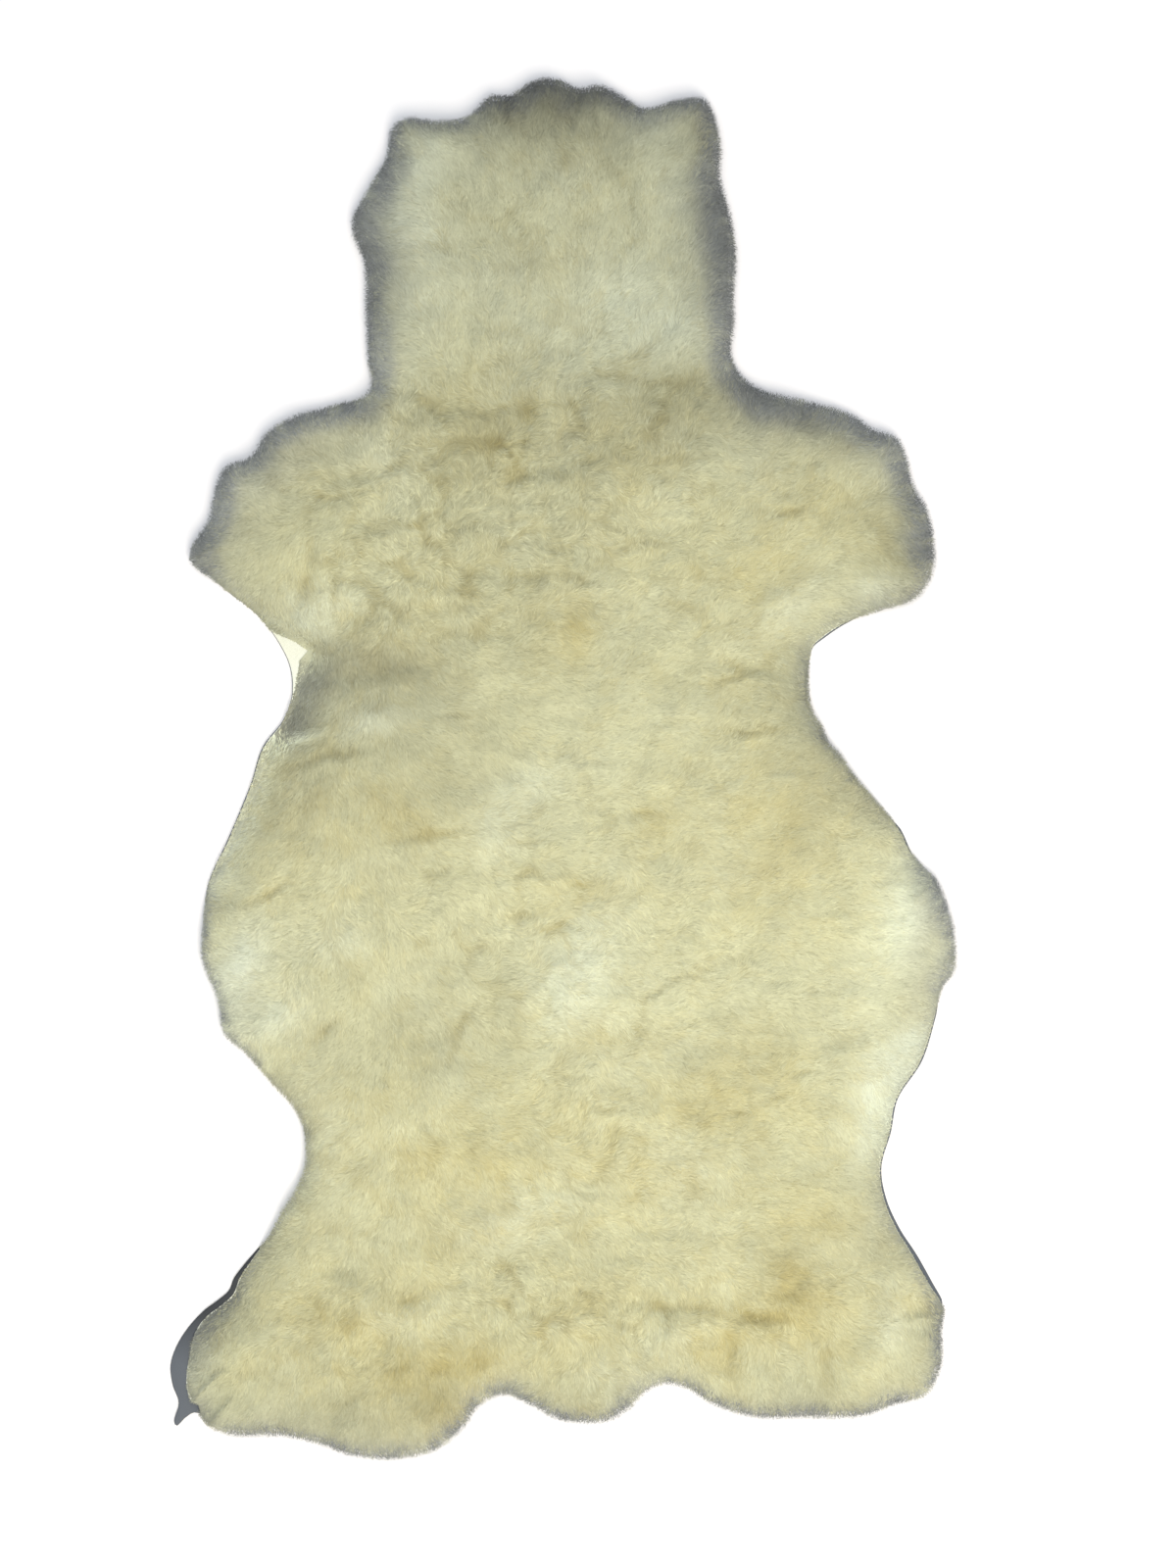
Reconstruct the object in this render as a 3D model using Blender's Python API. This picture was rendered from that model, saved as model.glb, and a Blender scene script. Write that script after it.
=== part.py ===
"""A natural-shape sheepskin rug, lying flat on its leather with the wool up.

The pelt is one piece, as it is cut from the tanned skin: a flat leather underside, a thin bare lip
where the belly wool stops short of the edge, and a lumpy slab of dense wool with a rounded rim.
The outermost locks hang past the leather and rest on the floor.  The head lies to +Y and the wool
faces +Z, in metres, with the origin on the floor under the middle of the pelt's box.
"""
import math
import random

import bmesh
import bpy
import numpy as np
from mathutils import Matrix, Vector, noise
from mathutils.geometry import delaunay_2d_cdt, interpolate_bezier

MM = 0.001

# Driving sizes.
PELT_LENGTH = 1150 * MM     # crown of the head to the hind edge
LEATHER = 2.2 * MM          # thickness of the tanned skin
PILE = 26.0 * MM            # height of the wool over the back
RIM_HEIGHT = 9.0 * MM       # height at which the wool's rounded rim starts
RIM_ROUND = 26.0 * MM       # how far in from the rim the wool reaches its full height
BELLY_ROUND = 50.0 * MM     # the same beside a bare edge, where the wool is thin
OVERHANG = 8.0 * MM         # reach at which the wool's rim is fully round
RIM_INSET = 0.45            # where the rim starts: this share of the reach inside the locks' ends
CLUMP_RISE = 4.5 * MM       # unevenness of the wool
CLUMP_SIZE = 42.0 * MM      # a clump's usual width
FINE_SHARE = 0.45           # rise of the clumps half that size, of the larger ones'

# The locks along the rim.
LOCK_PITCH = 16.0 * MM      # from one lock to the next
LOCK_WIDTHS = (9.0 * MM, 13.5 * MM)     # thinnest and thickest, at the root
LOCK_SHIFT = 1.0 * MM       # how far a lock may stand from its even place
LOCK_LENGTHS = (0.6, 1.3)   # shortest and longest, of the length that the edge gives
LOCK_TAPER = 0.62           # width where the tip starts, of that at the root
LOCK_DROOP = 0.55           # height where the tip starts, of that at the root
LOCK_SWAY = 0.45            # sideways lean to either side, of the lock's length
TIP_SHARE = 0.40            # share of the length that is the pointed tip
TIP_HEIGHT = 1.0 * MM
SHORTEST_LOCK = 2.5 * MM

# Spacing of the points on the surfaces.
GRID = 15.5 * MM            # over the wool
RING_DEPTHS = (5.5 * MM, 14.0 * MM)     # two rows of points along the rim
RING_SPACING = 14.0 * MM
RING_CROWDING = 0.8         # share of its depth that a row's point keeps from the rim in tight bends
LIP_SPACING = 8.0 * MM      # along the wool's foot, where the leather shows
NARROWEST_LIP = 1.5 * MM
BARE_MARGIN = 0.1 * MM      # a face no higher than this over the leather is bare
UNDERSIDE_GRID = 110.0 * MM
EDGE_BLUR = 6.0 * MM        # stretch of edge over which its direction is smoothed
SAME_POINT = 1e-7           # points nearer than this are one
INSIDE_ONLY = 1             # the triangulation's mode that keeps what lies inside the ring
SHARP = math.radians(50)    # edges bent by more than this are shaded sharp
SPAN_STEPS = 16             # points on the smooth edge between two of its rows
SEED = 11

WOOL, SKIN = 0, 1           # the pelt's two finishes

# The pelt's edge, clockwise from the left ear, in millimetres on a pelt DRAWN_LENGTH long.
DRAWN_LENGTH = 1152
# Columns: x, y, reach, lock.
# reach: how far the wool hangs past the leather; below 0, the width of leather left bare.
# lock: length of the locks there, 0 where the edge has none.
CROWN = (
    (-149, 510, 9, 6), (-145, 532, 9, 6), (-134, 543, 9, 7), (-102, 542, 9, 6),
    (-81, 545, 9, 6), (-61, 562, 10, 7), (-45, 563, 10, 6), (-24, 575, 10, 7),
    (-6, 576, 10, 7), (14, 569, 10, 6), (31, 571, 10, 7), (50, 562, 10, 6),
    (68, 552, 9, 6), (95, 559, 9, 6), (117, 560, 9, 7), (127, 546, 9, 6),
)
RIGHT_CHEEK = (
    (133, 518, 10, 6), (133, 491, 10, 6), (141, 462, 10, 6), (146, 428, 10, 7),
    (144, 392, 10, 6), (144, 368, 10, 6), (142, 344, 9, 6), (152, 326, 9, 6),
)
RIGHT_FORELEG = (
    (170, 316, 10, 6), (203, 308, 10, 7), (239, 297, 10, 6), (260, 284, 10, 6),
    (279, 277, 9, 7), (288, 259, 9, 6), (294, 235, 10, 6), (305, 216, 10, 7),
    (311, 182, 10, 7), (308, 158, 9, 6), (294, 140, 8, 6), (266, 131, 4, 4),
    (240, 123, 0, 0), (212, 104, -2, 0),
)
RIGHT_FLANK = (
    (207, 81, 3, 4), (208, 59, 5, 5), (218, 33, 7, 5), (236, 6, 7, 6),
    (258, -23, 5, 5), (283, -48, 0, 0), (300, -72, 4, 5), (313, -93, 8, 6),
    (325, -124, 9, 7), (329, -153, 9, 7), (323, -179, 5, 6), (316, -201, 2, 3),
    (300, -244, -2, 0), (280, -275, -3, 0), (274, -303, -3, 0), (266, -332, -2, 0),
)
RIGHT_HIND = (
    (270, -358, 0, 0), (281, -383, 1, 0), (296, -406, 0, 0), (309, -430, 0, 0),
    (319, -446, 2, 3), (318, -471, 7, 6), (317, -496, 9, 7), (304, -522, 10, 7),
    (276, -531, 10, 7), (248, -541, 10, 7), (201, -542, 10, 7), (156, -541, 10, 7),
    (123, -530, 10, 7), (103, -518, 9, 6), (85, -514, 9, 6), (70, -520, 9, 6),
)
TAIL = (
    (55, -535, 10, 7), (36, -545, 10, 7), (13, -546, 10, 7), (-8, -542, 10, 7),
    (-28, -531, 10, 7), (-50, -523, 9, 6), (-68, -531, 9, 6),
)
LEFT_HIND = (
    (-81, -549, 10, 7), (-106, -569, 10, 7), (-139, -576, 10, 7), (-174, -574, 10, 7),
    (-204, -564, 10, 7), (-237, -555, 10, 7), (-274, -555, 10, 7), (-300, -544, 9, 7),
    (-320, -538, 7, 13), (-328, -512, 8, 7), (-325, -490, 9, 6), (-307, -461, 9, 6),
    (-279, -439, 6, 5), (-270, -419, 6, 5), (-249, -396, 8, 6), (-231, -366, 8, 6),
)
LEFT_FLANK = (
    (-219, -338, 7, 6), (-216, -311, 7, 5), (-223, -288, 6, 5), (-244, -263, 6, 5),
    (-266, -238, 6, 5), (-284, -221, 7, 6), (-289, -193, 8, 6), (-302, -160, 8, 6),
    (-302, -135, 7, 6), (-296, -95, -2, 0), (-280, -59, -4, 0), (-261, -13, -5, 0),
    (-251, 18, -7, 0),
)
LEFT_FORELEG = (
    (-233, 42, -4, 0), (-225, 67, -3, 0), (-232, 95, -13, 0), (-254, 127, -4, 0),
    (-292, 156, 2, 3), (-311, 171, 8, 6), (-311, 185, 8, 7), (-297, 208, 9, 6),
    (-292, 233, 9, 6), (-282, 253, 9, 6), (-261, 262, 9, 6), (-249, 280, 9, 6),
    (-223, 296, 10, 7), (-188, 305, 10, 6), (-163, 316, 10, 6),
)
LEFT_CHEEK = (
    (-164, 339, 9, 6), (-166, 380, 10, 6), (-167, 419, 10, 6), (-177, 446, 9, 7),
    (-176, 461, 9, 7), (-162, 487, 9, 6),
)
EDGE = (CROWN + RIGHT_CHEEK + RIGHT_FORELEG + RIGHT_FLANK + RIGHT_HIND + TAIL
        + LEFT_HIND + LEFT_FLANK + LEFT_FORELEG + LEFT_CHEEK)

# Where the wool stands up or lies down, in the same millimetres.
# Columns: x, y, length, width, turn (degrees from +X), rise.
MOUNDS = (
    (-118, 505, 60, 35, 70, 3), (70, 528, 40, 24, 10, 3), (95, 365, 55, 30, 60, 3),
    (-110, 350, 60, 32, 80, 2), (0, 430, 75, 45, 90, 2), (-200, 135, 60, 30, 20, 5),
    (185, 135, 60, 30, 45, 5), (258, 151, 38, 20, 25, 4), (-159, 40, 55, 26, 10, 4),
    (-28, -13, 55, 30, 25, 4), (13, -168, 90, 55, 75, 5), (291, -127, 50, 28, 80, 4),
    (-266, -160, 50, 26, 60, 4), (-233, -205, 36, 22, 40, 4), (-184, -144, 55, 30, 10, 3),
    (-36, -373, 95, 42, 20, 5), (266, -258, 48, 24, 60, 4), (95, -471, 48, 26, 15, 5),
    (29, -496, 45, 26, 0, 4), (-143, -455, 80, 28, 5, 5), (275, -455, 48, 28, 70, 4),
    (95, -328, 80, 40, 10, 3), (-200, -500, 60, 30, 10, 3), (150, 200, 90, 50, 20, 3),
)
TROUGHS = (
    (-85, 298, 75, 22, 5, -4), (86, 310, 75, 22, -8, -4), (-143, 86, 85, 26, 12, -8),
    (-216, -29, 55, 22, 75, -5), (160, -103, 115, 20, 4, -4), (-118, -226, 60, 24, 20, -4),
    (103, -234, 60, 20, 10, -4), (225, -226, 50, 18, 25, -4), (-77, -299, 45, 24, -15, -4),
    (55, -444, 100, 16, 3, -6), (193, -430, 40, 22, 60, -5), (-102, -504, 45, 26, 70, -5),
    (150, 85, 60, 12, -8, -4), (-180, 240, 70, 14, 12, -3), (0, 250, 60, 14, 8, -3),
    (-20, 160, 90, 16, -4, -3), (-60, -80, 90, 20, 8, -2), (-175, -420, 60, 16, -20, -4),
    (-319, -482, 90, 26, 72, -9), (-297, -450, 50, 20, 40, -7),
)


class Edge:
    """The pelt's edge as a smooth closed curve that carries its reach and lock columns."""

    def __init__(self, rows, scale):
        knots = [Vector(row[:2]) * scale for row in rows]
        extras = [Vector(row[2:]) * MM for row in rows]
        count = len(knots)
        points = []
        for i, start in enumerate(knots):
            before, end, after = knots[i - 1], knots[(i + 1) % count], knots[(i + 2) % count]
            handle = (end - start).length / 3
            leave = start + (end - before).normalized() * handle
            arrive = end - (after - start).normalized() * handle
            span = interpolate_bezier(start, leave, arrive, end, SPAN_STEPS + 1)[:-1]
            for step, point in enumerate(span):
                reach, lock = extras[i].lerp(extras[(i + 1) % count], step / SPAN_STEPS)
                points.append((point.x, point.y, reach, lock))
        self.table = np.array(points + points[:1])
        steps = np.linalg.norm(np.diff(self.table[:, :2], axis=0), axis=1)
        self.distance = np.concatenate(([0.0], np.cumsum(steps)))
        self.length = float(self.distance[-1])

    def at(self, distance):
        """x, y, reach and lock at a distance along the edge."""
        return [float(np.interp(distance % self.length, self.distance, column))
                for column in self.table.T]

    def inward(self, distance):
        """The level direction into the pelt there, smoothed over a short stretch of edge."""
        ahead, behind = self.at(distance + EDGE_BLUR), self.at(distance - EDGE_BLUR)
        along = Vector((ahead[0] - behind[0], ahead[1] - behind[1])).normalized()
        return Vector((along.y, -along.x))

    def inset(self, distance, depth):
        """The point `depth` inside the edge there."""
        return Vector(self.at(distance)[:2]) + self.inward(distance) * depth

    def overhang(self, distance):
        """How far the wool hangs past the leather there."""
        return max(self.at(distance)[2], 0.0)

    def lip(self, distance):
        """How much leather is left bare there."""
        return max(-self.at(distance)[2], 0.0)

    def evenly(self, spacing):
        """Distances along the whole edge, about `spacing` apart."""
        count = round(self.length / spacing)
        return [self.length * i / count for i in range(count)]

    def reach_near(self, points):
        """The reach at the edge nearest to each point."""
        nearest = []
        for point in points:
            offsets = self.table[:, :2] - point
            nearest.append(self.table[np.argmin((offsets ** 2).sum(axis=1)), 2])
        return np.array(nearest)


def lock_sides(edge):
    """Distances along the edge of each lock's two sides, in order."""
    chance = random.Random(SEED)
    sides = []
    for middle in edge.evenly(LOCK_PITCH):
        middle += LOCK_PITCH / 2 + chance.uniform(-LOCK_SHIFT, LOCK_SHIFT)
        half_width = chance.uniform(*LOCK_WIDTHS) / 2
        sides += [middle - half_width, middle + half_width]
    return sides


def depth_inside(points, ring):
    """How far each point lies inside the closed ring, negative outside it."""
    nearest = np.full(len(points), np.inf)
    inside = np.zeros(len(points), dtype=bool)
    for start, end in zip(ring, np.roll(ring, -1, axis=0)):
        along = end - start
        share = np.clip((points - start) @ along / (along @ along), 0.0, 1.0)
        offsets = points - start - share[:, None] * along
        nearest = np.minimum(nearest, np.linalg.norm(offsets, axis=1))
        if start[1] != end[1]:
            crossing = (start[1] > points[:, 1]) != (end[1] > points[:, 1])
            meets_at = start[0] + (points[:, 1] - start[1]) * along[0] / along[1]
            inside ^= crossing & (points[:, 0] < meets_at)
    return np.where(inside, nearest, -nearest)


def even_grid(ring, spacing, clearance):
    """A grid of equal triangles over the ring, `clearance` or more inside it."""
    low, high = ring.min(axis=0), ring.max(axis=0)
    row_height = spacing * math.sqrt(3) / 2
    points = []
    for row in range(math.ceil((high[1] - low[1]) / row_height)):
        shift = spacing / 2 * (row % 2)
        for x in np.arange(low[0] + shift, high[0], spacing):
            points.append((x, low[1] + row * row_height))
    points = np.array(points)
    return points[depth_inside(points, ring) > clearance]


def rim_rows(edge, ring):
    """Rows of points that follow the rim: the wool's foot on a bare lip, then the rounded rim."""
    points = []
    for distance in edge.evenly(LIP_SPACING):
        if edge.lip(distance) > NARROWEST_LIP:
            points.append(edge.inset(distance, edge.lip(distance)))
    for depth in RING_DEPTHS:
        row = np.array([edge.inset(distance, RIM_INSET * edge.overhang(distance)
                                   + edge.lip(distance) + depth)
                        for distance in edge.evenly(RING_SPACING)])
        points += list(row[depth_inside(row, ring) > RING_CROWDING * depth])
    return np.array(points)


def swelling(x, y, rows, scale):
    """Height that the rows' mounds or troughs add at a point, each a long smooth swell."""
    total = 0.0
    for centre_x, centre_y, length, width, turn, rise in rows:
        away = Vector((x - centre_x * scale, y - centre_y * scale))
        away.rotate(Matrix.Rotation(math.radians(-turn), 2))
        along, across = 2 * away.x / (length * scale), 2 * away.y / (width * scale)
        total += rise * MM * math.exp(-along * along - across * across)
    return total


def clumps(x, y):
    """Unevenness of the wool at a point, in two sizes of clump."""
    place = Vector((x, y, 0.0)) / CLUMP_SIZE
    return CLUMP_RISE * (noise.noise(place) + FINE_SHARE * noise.noise(place * 2))


def wool_top(points, depths, reaches, scale):
    """Height of the wool at each point."""
    heights = []
    for (x, y), depth, reach in zip(points, depths, reaches):
        hanging = min(max(reach / OVERHANG, 0.0), 1.0)
        foot = LEATHER + (RIM_HEIGHT - LEATHER) * hanging
        roundness = BELLY_ROUND + (RIM_ROUND - BELLY_ROUND) * hanging
        rise = min(max((depth - max(-reach, 0.0)) / roundness, 0.0), 1.0)
        top = PILE + swelling(x, y, MOUNDS + TROUGHS, scale) + clumps(x, y)
        heights.append(foot + (top - foot) * math.sqrt(1 - (1 - rise) ** 2))
    return heights


def add_sheet(bm, ring, points, heights):
    """A triangulated sheet over the ring and the points inside it; gives the ring's vertices."""
    flat = [Vector(point) for point in np.vstack((ring, points))]
    rim = list(range(len(ring)))
    places, _, faces, sources, _, _ = delaunay_2d_cdt(flat, [], [rim], INSIDE_ONLY, SAME_POINT)
    vertices = []
    for place, source in zip(places, sources):
        vertices.append(bm.verts.new((place.x, place.y, heights[source[0]])))
    for face in faces:
        bm.faces.new([vertices[i] for i in face])
    of_source = {source[0]: vertex for vertex, source in zip(vertices, sources)}
    return [of_source[i] for i in rim]


def grow_lock(bm, root, outward, length, sway):
    """One four-sided lock on a face of the rim wall, level on the floor, with a pointed tip."""
    lock = bmesh.ops.extrude_discrete_faces(bm, faces=[root])["faces"][0]
    middle = lock.calc_center_median()
    sideways = Vector((-outward.y, outward.x))
    body = outward * length * (1 - TIP_SHARE) + sideways * sway * length * (1 - TIP_SHARE)
    for vertex in lock.verts:
        level = middle.xy + (vertex.co.xy - middle.xy) * LOCK_TAPER + body
        level += outward * (vertex.co.xy - middle.xy).dot(outward) * (1 - LOCK_TAPER)
        vertex.co = (level.x, level.y, vertex.co.z * LOCK_DROOP)
    tip = bmesh.ops.poke(bm, faces=[lock])["verts"][0]
    end = tip.co.xy + (outward + sideways * sway) * length * TIP_SHARE
    tip.co = (end.x, end.y, TIP_HEIGHT)


def build_pelt(bm):
    """The whole pelt as one closed body."""
    scale = PELT_LENGTH / DRAWN_LENGTH
    edge = Edge(EDGE, scale)
    sides = lock_sides(edge)
    rim = np.array([edge.inset(side, RIM_INSET * edge.overhang(side)) for side in sides])
    points = np.vstack((rim_rows(edge, rim),
                        even_grid(rim, GRID, RING_DEPTHS[-1] + GRID / 2)))
    every = np.vstack((rim, points))
    depths = np.concatenate((np.zeros(len(rim)), depth_inside(points, rim)))
    heights = wool_top(every, depths, edge.reach_near(every), scale)
    top_ring = add_sheet(bm, rim, points, heights)

    skin = np.array([edge.inset(side, edge.overhang(side)) for side in sides])
    inner = even_grid(skin, UNDERSIDE_GRID, UNDERSIDE_GRID / 3)
    skin_ring = add_sheet(bm, skin, inner, np.zeros(len(skin) + len(inner)))

    walls = []
    for i, side in enumerate(sides):
        after = (i + 1) % len(sides)
        walls.append(bm.faces.new((skin_ring[i], skin_ring[after], top_ring[after], top_ring[i])))
    bmesh.ops.recalc_face_normals(bm, faces=bm.faces)
    for face in bm.faces:
        bare = all(vertex.co.z < LEATHER + BARE_MARGIN for vertex in face.verts)
        face.material_index = SKIN if bare else WOOL

    chance = random.Random(SEED)
    for i in range(0, len(sides), 2):
        middle = (sides[i] + sides[i + 1]) / 2
        sway = chance.uniform(-LOCK_SWAY, LOCK_SWAY)
        length = edge.at(middle)[3] * chance.uniform(*LOCK_LENGTHS)
        if length > SHORTEST_LOCK:
            grow_lock(bm, walls[i], -edge.inward(middle), length, sway)


def material(name, colour, roughness):
    """A plain finish: linear colour and roughness."""
    finish = bpy.data.materials.new(name)
    finish.use_nodes = True
    shader = finish.node_tree.nodes["Principled BSDF"]
    shader.inputs["Base Color"].default_value = (*colour, 1.0)
    shader.inputs["Roughness"].default_value = roughness
    shader.inputs["Metallic"].default_value = 0.0
    return finish


def main():
    for old in list(bpy.data.objects):
        bpy.data.objects.remove(old)

    bm = bmesh.new()
    build_pelt(bm)
    places = np.array([vertex.co for vertex in bm.verts])
    middle = (places.min(axis=0) + places.max(axis=0)) / 2
    bmesh.ops.translate(bm, verts=bm.verts, vec=(-middle[0], -middle[1], 0.0))

    mesh = bpy.data.meshes.new("pelt")
    bm.to_mesh(mesh)
    bm.free()
    mesh.shade_smooth()
    mesh.set_sharp_from_angle(angle=SHARP)
    mesh.materials.append(material("cream wool", (0.60, 0.56, 0.36), 0.95))
    mesh.materials.append(material("tanned skin", (0.72, 0.68, 0.52), 0.80))
    pelt = bpy.data.objects.new("pelt", mesh)
    bpy.context.scene.collection.objects.link(pelt)


main()
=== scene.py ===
"""Dresses a natural-shape sheepskin rug: tanned skin below, underwool and combed wool above.

The pelt lies flat with its head to +Y and its wool up, in metres.  It keeps its solid's mounds,
clumps and troughs.  Its edge is the solid's but for a few millimetres at the armpits, the flanks
and the left hind leg.  Everything about the fleece is charted over the pelt once, and the skin,
the underwool, the wool and the hair along the rim all read that chart.
"""
import functools
import math

import bmesh
import bpy
import numpy as np
from bpy.props import FloatProperty, FloatVectorProperty, IntProperty, PointerProperty
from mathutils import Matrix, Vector, kdtree, noise
from mathutils.geometry import delaunay_2d_cdt, interpolate_bezier


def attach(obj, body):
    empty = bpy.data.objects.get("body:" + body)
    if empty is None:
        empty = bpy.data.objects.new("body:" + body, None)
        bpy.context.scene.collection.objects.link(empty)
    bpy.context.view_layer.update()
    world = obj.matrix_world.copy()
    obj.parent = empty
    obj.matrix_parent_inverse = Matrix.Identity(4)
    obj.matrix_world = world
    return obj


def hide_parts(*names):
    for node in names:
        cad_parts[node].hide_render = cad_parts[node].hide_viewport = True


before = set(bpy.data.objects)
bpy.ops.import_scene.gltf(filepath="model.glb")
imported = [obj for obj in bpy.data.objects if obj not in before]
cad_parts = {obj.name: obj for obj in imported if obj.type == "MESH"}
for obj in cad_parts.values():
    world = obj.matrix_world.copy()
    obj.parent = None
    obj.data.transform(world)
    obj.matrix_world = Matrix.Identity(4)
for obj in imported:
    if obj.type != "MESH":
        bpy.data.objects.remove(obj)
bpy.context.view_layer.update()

bl_info = {
    "name": "Sheepskin rug",
    "version": (1, 0, 0),
    "blender": (4, 5, 0),
    "location": "3D View > Sidebar > Sheepskin",
    "description": "Lays out a sheepskin rug: tanned skin, underwool, combed wool and a studio",
    "category": "Object",
}

MM = 0.001

# The pelt's own sizes.
PELT_LENGTH = 1150 * MM     # crown of the head to the hind edge
DRAWN_LENGTH = 1152         # the same in the tables below, which are in millimetres
DRAWN_MIDDLE = Vector((-0.7, -1.4)) * MM    # middle of the pelt's box, its rim locks counted in
SCALE = PELT_LENGTH / DRAWN_LENGTH          # metres for each of the tables' millimetres
RIM_HEIGHT = 9.0 * MM       # height at which the wool's rounded rim starts
RIM_ROUND = 26.0 * MM       # how far in from the rim the wool reaches its full height
BELLY_ROUND = 50.0 * MM     # the same beside a bare edge, where the wool is thin
OVERHANG = 8.0 * MM         # reach at which the wool's rim is fully round
RIM_INSET = 0.45            # where the rim starts: this share of the reach inside the locks' ends
CLUMP_RISE = 4.5 * MM       # unevenness of the wool
CLUMP_SIZE = 42.0 * MM      # a clump's usual width
FINE_SHARE = 0.45           # rise of the clumps half that size, of the larger ones'
SPAN_STEPS = 16             # points on the smooth edge between two of its rows
EDGE_BLUR = 6.0 * MM        # stretch of edge over which its direction is smoothed
RIM_LAY = 32.0 * MM         # how far in the rim turns the wool outward
RIM_TIP = 2.5 * MM          # how far the rim's wool rests past the edge
WOOLLY = 1.0 * MM           # where the reach is more than this, wool covers the edge

# The leather.
GRAIN, SUEDE, CUT = 0, 1, 2     # its finishes, in the order of its materials
CUT_LINE = 2.0 * MM         # leather that shows along a belly edge, past its thin wool
CUT_SLOPE = 1.1 * MM        # how far the cut through the leather leans out
CUT_MOST = 4.0 * MM         # wider than this, the dark band is a painted shadow and not the cut
CUT_BEVEL = 0.5 * MM        # width of the blunted corners along the cut
EDGE_LIFT = 10.0 * MM       # how far in from a bare edge the leather lifts
LIFT_WAVE = 22.0 * MM       # length of the lifted edge's waves
COCKLE_WAVE = 38.0 * MM     # length of the underside's waves
SKIN_RINGS = (3.2 * MM, 6.8 * MM)   # rows of the skin's points that follow its edge
SKIN_STEP = 3.0 * MM        # distance between the points along the skin's edge
LINE_STEP = 0.25 * MM       # how finely a line inside the edge is looked for
LINE_STEPS = 120            # and in how many steps
EDGE_STEP = 0.5 * MM        # distance between the edge's places that the chart looks to
SAME_POINT = 1e-7           # points nearer than this are one
INSIDE_ONLY = 1             # the triangulation's mode that keeps what lies inside the ring

# How the wool gathers.
TUFT_DRIFT, TUFT_DRIFT_WAVE = 6.0 * MM, 25.0 * MM   # how far the tufts stray, and in what waves
PARTING_DRIFTS = ((3.0 * MM, 12.0 * MM), (4.0 * MM, 26.0 * MM))     # the same of the partings
STREAK_RISE, STREAK_LENGTH = 0.7 * MM, 26.0 * MM    # ridges that follow the combing
CURL_RING = 8.0 * MM        # distance between a wool curl's ridges
CURL_RIDGE = 0.5 * MM       # height of those ridges over the wool
LOCK_SIZE = 6.5 * MM        # distance between the small locks that the strands lean together in
RIM_LOCKS = (5.0 * MM, 2.6 * MM)        # widths of the locks of painted shade that reach in from the rim
RIM_LOCK_DEPTHS = (5.0 * MM, 22.0 * MM)     # where they start to fade, and where they end
HAIR_ROOTS = (1.5, 8.0)     # how far inside the edge the rim's long hairs grow, in millimetres
FOOT_GAP = 0.3 * MM         # between the skin and the underwool's foot
THINNEST_BED = 0.3 * MM     # underwool at its edge
LOWEST = 0.4 * MM           # no strand comes nearer to the floor than this

# The pelt's edge, clockwise from the left ear.  Columns: x, y, reach.
# reach: how far the wool hangs past the leather; below 0, the width of leather left bare.
CROWN = (
    (-149, 510, 9), (-145, 532, 9), (-134, 543, 9), (-102, 542, 9),
    (-81, 545, 9), (-61, 562, 10), (-45, 563, 10), (-24, 575, 10),
    (-6, 576, 10), (14, 569, 10), (31, 571, 10), (50, 562, 10),
    (68, 552, 9), (95, 559, 9), (117, 560, 9), (127, 546, 9),
)
RIGHT_CHEEK = (
    (133, 518, 10), (133, 491, 10), (141, 462, 10), (146, 428, 10),
    (144, 392, 10), (144, 368, 10), (142, 344, 9), (152, 326, 9),
)
RIGHT_FORELEG = (
    (170, 316, 10), (203, 308, 10), (239, 297, 10), (260, 284, 10),
    (279, 277, 9), (288, 259, 9), (294, 235, 10), (305, 216, 10),
    (311, 182, 10), (308, 158, 9), (294, 140, 8), (266, 131, 4),
    (240, 123, 0), (214, 106, -2), (208, 100, -2),
)
RIGHT_FLANK = (
    (206, 88, 1), (207, 60, 5), (211, 46, 7), (218, 35, 7),
    (222, 25, 7), (235, 10, 6), (241, 0, 6), (251, -13, 5),
    (268, -33, 2), (282, -50, 0), (293, -71, 1), (302, -82, 4),
    (312, -91, 7), (321, -110, 8), (326, -127, 9), (329, -153, 9),
    (327, -170, 8), (317, -184, 2), (312, -205, 0),
    (300, -244, -2), (280, -275, -3), (274, -303, -3), (266, -332, -2),
)
RIGHT_HIND = (
    (270, -358, 0), (281, -383, 0), (296, -406, 0), (310, -431, 0),
    (317, -444, 0), (319, -454, 4), (317, -471, 7), (317, -496, 9),
    (304, -522, 10),
    (276, -531, 10), (248, -541, 10), (201, -542, 10), (156, -541, 10),
    (123, -530, 10), (103, -518, 9), (85, -514, 9), (70, -520, 9),
)
TAIL = (
    (55, -535, 10), (36, -545, 10), (13, -546, 10), (-8, -542, 10),
    (-28, -531, 10), (-50, -523, 9), (-68, -531, 9),
)
LEFT_HIND = (
    (-81, -549, 10), (-106, -569, 10), (-139, -576, 10), (-174, -574, 10),
    (-204, -564, 10), (-237, -557, 10), (-274, -557, 10), (-296, -549, 7),
    (-307, -538, 0), (-314, -541, -3), (-324, -548, -3), (-321, -529, -6),
    (-326, -515, -12), (-328, -498, -16), (-323, -482, -12), (-313, -466, -6),
    (-300, -452, -6), (-288, -443, -6), (-279, -435, -6), (-275, -425, -5),
    (-267, -414, -4), (-255, -400, -1), (-248, -391, 4), (-234, -365, 8),
)
LEFT_FLANK = (
    (-219, -338, 7), (-216, -311, 7), (-223, -288, 6), (-244, -263, 6),
    (-266, -238, 6), (-284, -221, 7), (-289, -193, 8), (-302, -160, 8),
    (-302, -135, 7), (-296, -95, -2), (-280, -59, -4), (-261, -13, -5),
    (-251, 18, -7),
)
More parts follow.
